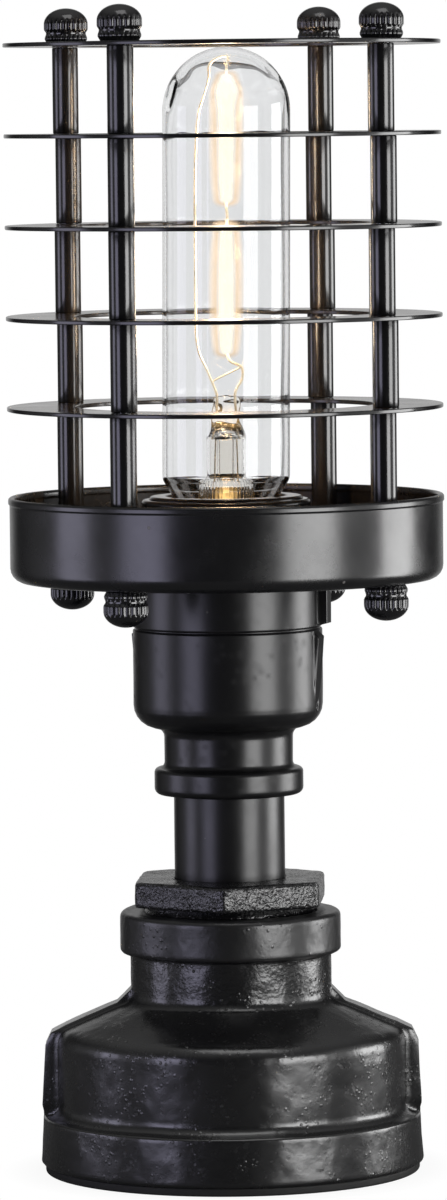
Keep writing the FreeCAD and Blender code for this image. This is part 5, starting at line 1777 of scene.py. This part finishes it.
    def stick(self, span: tuple[float, float], reach: float, radius: float) -> Array:
        """A slim stick: its radius is R (0.62 + 0.38 sin(pi t)^0.5), rounded off at both ends.

        Args:
            span: lowest and highest point of the glowing stick.
            reach: how far it goes past both.
            radius: its greatest radius.

        Returns:
            The stick's grid.
        """
        height = np.linspace(0, 1, 60)
        rounding = np.clip(np.minimum(height, 1 - height) / self.stick_end, 0, 1)
        swell = np.sqrt(np.clip(np.sin(math.pi * height), 0, 1))
        size = radius * (0.62 + 0.38 * swell) * np.sqrt(1 - (1 - rounding) ** 2)
        low, high = span[0] - reach, span[1] + reach
        level = low + height * (high - low)
        return tube_along(np.stack((0 * level, 0 * level, level), axis=1), size, 24)

    def cap(self) -> Array:
        """The thin screw cap: its radius loses a helical wave between a plain rim and the foot.

        Returns:
            The cap's grid.
        """
        wide, foot, top = self.cap_radius, self.cap_foot, self.cap_top
        outline = profile([
            (wide - 2.2, foot, 0), (wide - 0.9, foot, 0.6), (wide - 0.05, foot + 1.5, 0.5),
            (wide - 0.05, top, 0), (wide - 0.85, top, 0), (wide - 0.85, foot + 1.6, 0.3),
            (wide - 2.2, foot + 0.4, 0)], 0.35)
        radius, height, angles = outline[:, :1], outline[:, 1:2], round_columns(120)
        zone = within(foot + 1.2, foot + 2.4, top - 3.2, top - 2.0, height)
        cut = self.thread_depth * helix(height, self.thread_pitch, angles) * zone
        return polar(radius - cut, angles, height)

    def build(self) -> None:
        """Builds the bulb's pieces, which lean from the cap up, and dresses its inner ends."""
        pieces = [
            ("bulb_envelope", [self.envelope()], Finishes.glass, ["bulb_glass"], 70),
            ("glass_stem", [*self.stem(), self.pinch()], Finishes.stem, ["bulb_stem"], 60),
            ("inner_wires", self.wires(), Finishes.wire, ["filament_wires"], 60)]
        for level, span in zip(("lower", "upper"), self.stick_spans):
            name = f"glowing_stick_{level}"
            stick = self.stick(span, 0.0, self.stick_radius)
            halo = self.stick(span, self.halo_reach, self.halo_radius)
            pieces += [(name, [stick], Finishes.glow, [f"filament_{level}"], 70),
                       (f"{name}_halo", [halo], Finishes.halo, [], 70)]
        pieces.append(("screw_cap", [self.cap()], Finishes.cap, ["bulb_cap"], 50))
        for name, grids, finish, replaces, sharp in pieces:
            leaning = [self.leaning(grid) for grid in grids]
            add_piece(name, leaning, finish, replaces, sharp, Body.BULB)
        dress_nodes(Finishes.black_glass, "cap_insulator")
        dress_nodes(Finishes.cap, "cap_contact")


# ---------------------------------------------------------------- studio and camera

@dataclass(frozen=True)
class Softbox:
    """A tall strip lamp: where it stands round the lamp, how wide it looks and how bright."""

    name: str
    azimuth: float
    half_angle: float
    radiance: float
    colour: Colour = (1.0, 1.0, 1.0)
    distance: float = 1.5
    height: float = 1.25
    middle: float = -0.175
    tilt: float = 0.0

    def place(self) -> None:
        """Adds the lamp; its power is radiance times pi times its area."""
        width = 2 * self.distance * math.tan(math.radians(self.half_angle))
        light = bpy.data.lights.new(self.name, "AREA")
        light.shape, light.size, light.size_y = "RECTANGLE", width, self.height
        light.color = self.colour
        light.energy = self.radiance * math.pi * width * self.height
        turn, rise = math.radians(self.azimuth), math.radians(self.tilt)
        away = Vector((math.sin(turn) * math.cos(rise), -math.cos(turn) * math.cos(rise),
                       math.sin(rise)))
        item = add_lamp(light, away * self.distance + Vector((0, 0, self.middle)))
        item.rotation_euler = away.to_track_quat("Z", "Y").to_euler()
        LOG.info("%s: %.0f W", self.name, light.energy)


@dataclass
class Studio:
    """Pale floor, white surround, strip lamps, the bulb's own light and the camera."""

    softboxes: tuple[Softbox, ...] = (
        Softbox("softbox_right", 45, 14, 6.0),
        Softbox("softbox_far_right", 102, 13, 5.4),
        Softbox("softbox_left", -44, 12, 2.3, (0.77, 0.75, 1.0)),
        Softbox("softbox_far_left", -88, 11, 1.9, (0.79, 0.77, 1.0)),
        Softbox("softbox_top", 20, 16, 1.4, distance=1.3, height=0.8, middle=0.2, tilt=72),
    )
    floor_radius: float = 0.4
    floor_level: float = -0.00002
    floor_tones: tuple[float, float] = (0.86, 0.9)
    contact: tuple[float, float] = (0.047, 0.056)
    bulb_power: float = 0.36
    bulb_colour: Colour = (1.0, 0.6, 0.28)
    bulb_shares: tuple[tuple[float, float], ...] = (
        (0.205, 1.0), (0.221, 1.0), (0.241, 1.0), (0.257, 1.0), (0.1655, 0.02))
    bulb_softness: float = 0.003
    lens: float = 207.0
    sensor: float = 36.0
    eye: tuple[float, float, float] = (-0.00089, -1.6589, 0.25535)
    pitch: float = 4.045
    roll: float = 0.595

    def world(self) -> None:
        """White to the eye; to glossy rays white behind the lamp, dim in front and at the sides."""
        world = bpy.data.worlds.new("studio_surround")
        world.use_nodes = True
        bpy.context.scene.world = world
        nodes = Nodes(world.node_tree)
        nodes.tree.nodes.clear()
        path = nodes.add("ShaderNodeLightPath").outputs
        towards = nodes.add("ShaderNodeTexCoord").outputs["Generated"]
        way = nodes.add("ShaderNodeSeparateXYZ", {0: towards}).outputs
        behind = nodes.span(way["Y"], 0.86, 0.98, 0.03, 0.62)
        above = nodes.span(way["Z"], 0.3, 0.95, 0.0, 0.3)
        right = nodes.span(way["X"], 0.7, 0.95, 0.0, 0.6)
        left = nodes.span(way["X"], -0.95, -0.6, 0.2, 0.0)
        glossy = nodes.most(nodes.most(behind, above), nodes.most(left, right))
        through = nodes.most(nodes.span(way["Y"], 0.0, 0.75, 0.06, 1.0),
                             nodes.span(nodes.math("ABSOLUTE", way["Z"]), 0.1, 0.5, 0.0, 0.9))
        level: object = 0.35
        for ray, seen in (("Is Glossy Ray", glossy), ("Is Transmission Ray", through),
                          ("Is Camera Ray", 1.0)):
            level = nodes.blend(path[ray], level, seen)
        back = nodes.add("ShaderNodeBackground", {"Color": WHITE, "Strength": level})
        nodes.add("ShaderNodeOutputWorld", {0: back.outputs[0]})

    def floor(self) -> None:
        """A round pale floor; it fades into the white surround and keeps the lamp's shadow."""
        outline = np.array([(0.0, 0.0), (60.0, 0.0), (self.floor_radius / MM, 0.0)])
        points = turned(outline, 96)[::-1] + (0, 0, self.floor_level / MM)
        mesh = mesh_of("floor", [points])
        shade = Shade("pale_floor")
        away = shade.add("ShaderNodeVectorMath", {0: shade.place}, operation="LENGTH").outputs[1]
        path = shade.add("ShaderNodeLightPath").outputs
        tone = shade.patches(40.0, 3.0, (0.3, 0.7), self.floor_tones)
        tone = shade.times(tone, shade.span(path["Is Glossy Ray"], 0, 1, 1, 0.15))
        grey = shade.add("ShaderNodeCombineColor", {0: tone, 1: tone, 2: tone}).outputs[0]
        shade.feed(Base_Color=grey, Roughness=0.6, Specular_IOR_Level=0.2)
        seen = shade.most(path["Is Camera Ray"], path["Is Transmission Ray"])
        shade.cover(shade.times(seen, shade.span(away, *self.contact, 0.93, 1.0)),
                    shade.add("ShaderNodeEmission", {"Color": WHITE, "Strength": 1.0}))
        mesh.materials.append(shade.material)
        add_object("floor", mesh)

    def bulb_lights(self) -> None:
        """Small warm lights on the bulb's axis, each with its height and its share of power."""
        for height, share in self.bulb_shares:
            light = bpy.data.lights.new(f"bulb_light_{round(height / MM)}", "POINT")
            light.energy, light.color = self.bulb_power * share, self.bulb_colour
            light.shadow_soft_size = self.bulb_softness
            item = add_lamp(light, (0, 0, height))
            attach(item, Body.BULB.value)

    def camera(self) -> None:
        """The camera, pitched down and rolled a little."""
        camera = bpy.data.cameras.new("camera")
        camera.lens, camera.sensor_width, camera.sensor_fit = self.lens, self.sensor, "AUTO"
        camera.dof.use_dof = False
        item = add_object("camera", camera)
        down, roll = math.radians(self.pitch), math.radians(self.roll)
        forward = Vector((0, math.cos(down), -math.sin(down)))
        level = Vector((0, math.sin(down), math.cos(down)))
        up = level * math.cos(roll) + Vector((1, 0, 0)) * math.sin(roll)
        turn = Matrix((forward.cross(up), up, -forward)).transposed().to_4x4()
        item.matrix_world = Matrix.Translation(self.eye) @ turn
        bpy.context.scene.camera = item

    def build(self) -> None:
        """Builds the studio."""
        self.world()
        self.floor()
        for softbox in self.softboxes:
            softbox.place()
        self.bulb_lights()
        self.camera()
        bpy.context.scene.view_settings.view_transform = "Standard"


def main() -> None:
    """Builds the lamp from the ground up, then the studio."""
    for part in (Foot(), BaseCasting(), Bushing(), PipeNipple(), Cup(), Pan(), Cage(), Socket(),
                 Bulb(), Studio()):
        LOG.info("%s", type(part).__name__)
        part.build()


if __name__ == "__main__":
    main()
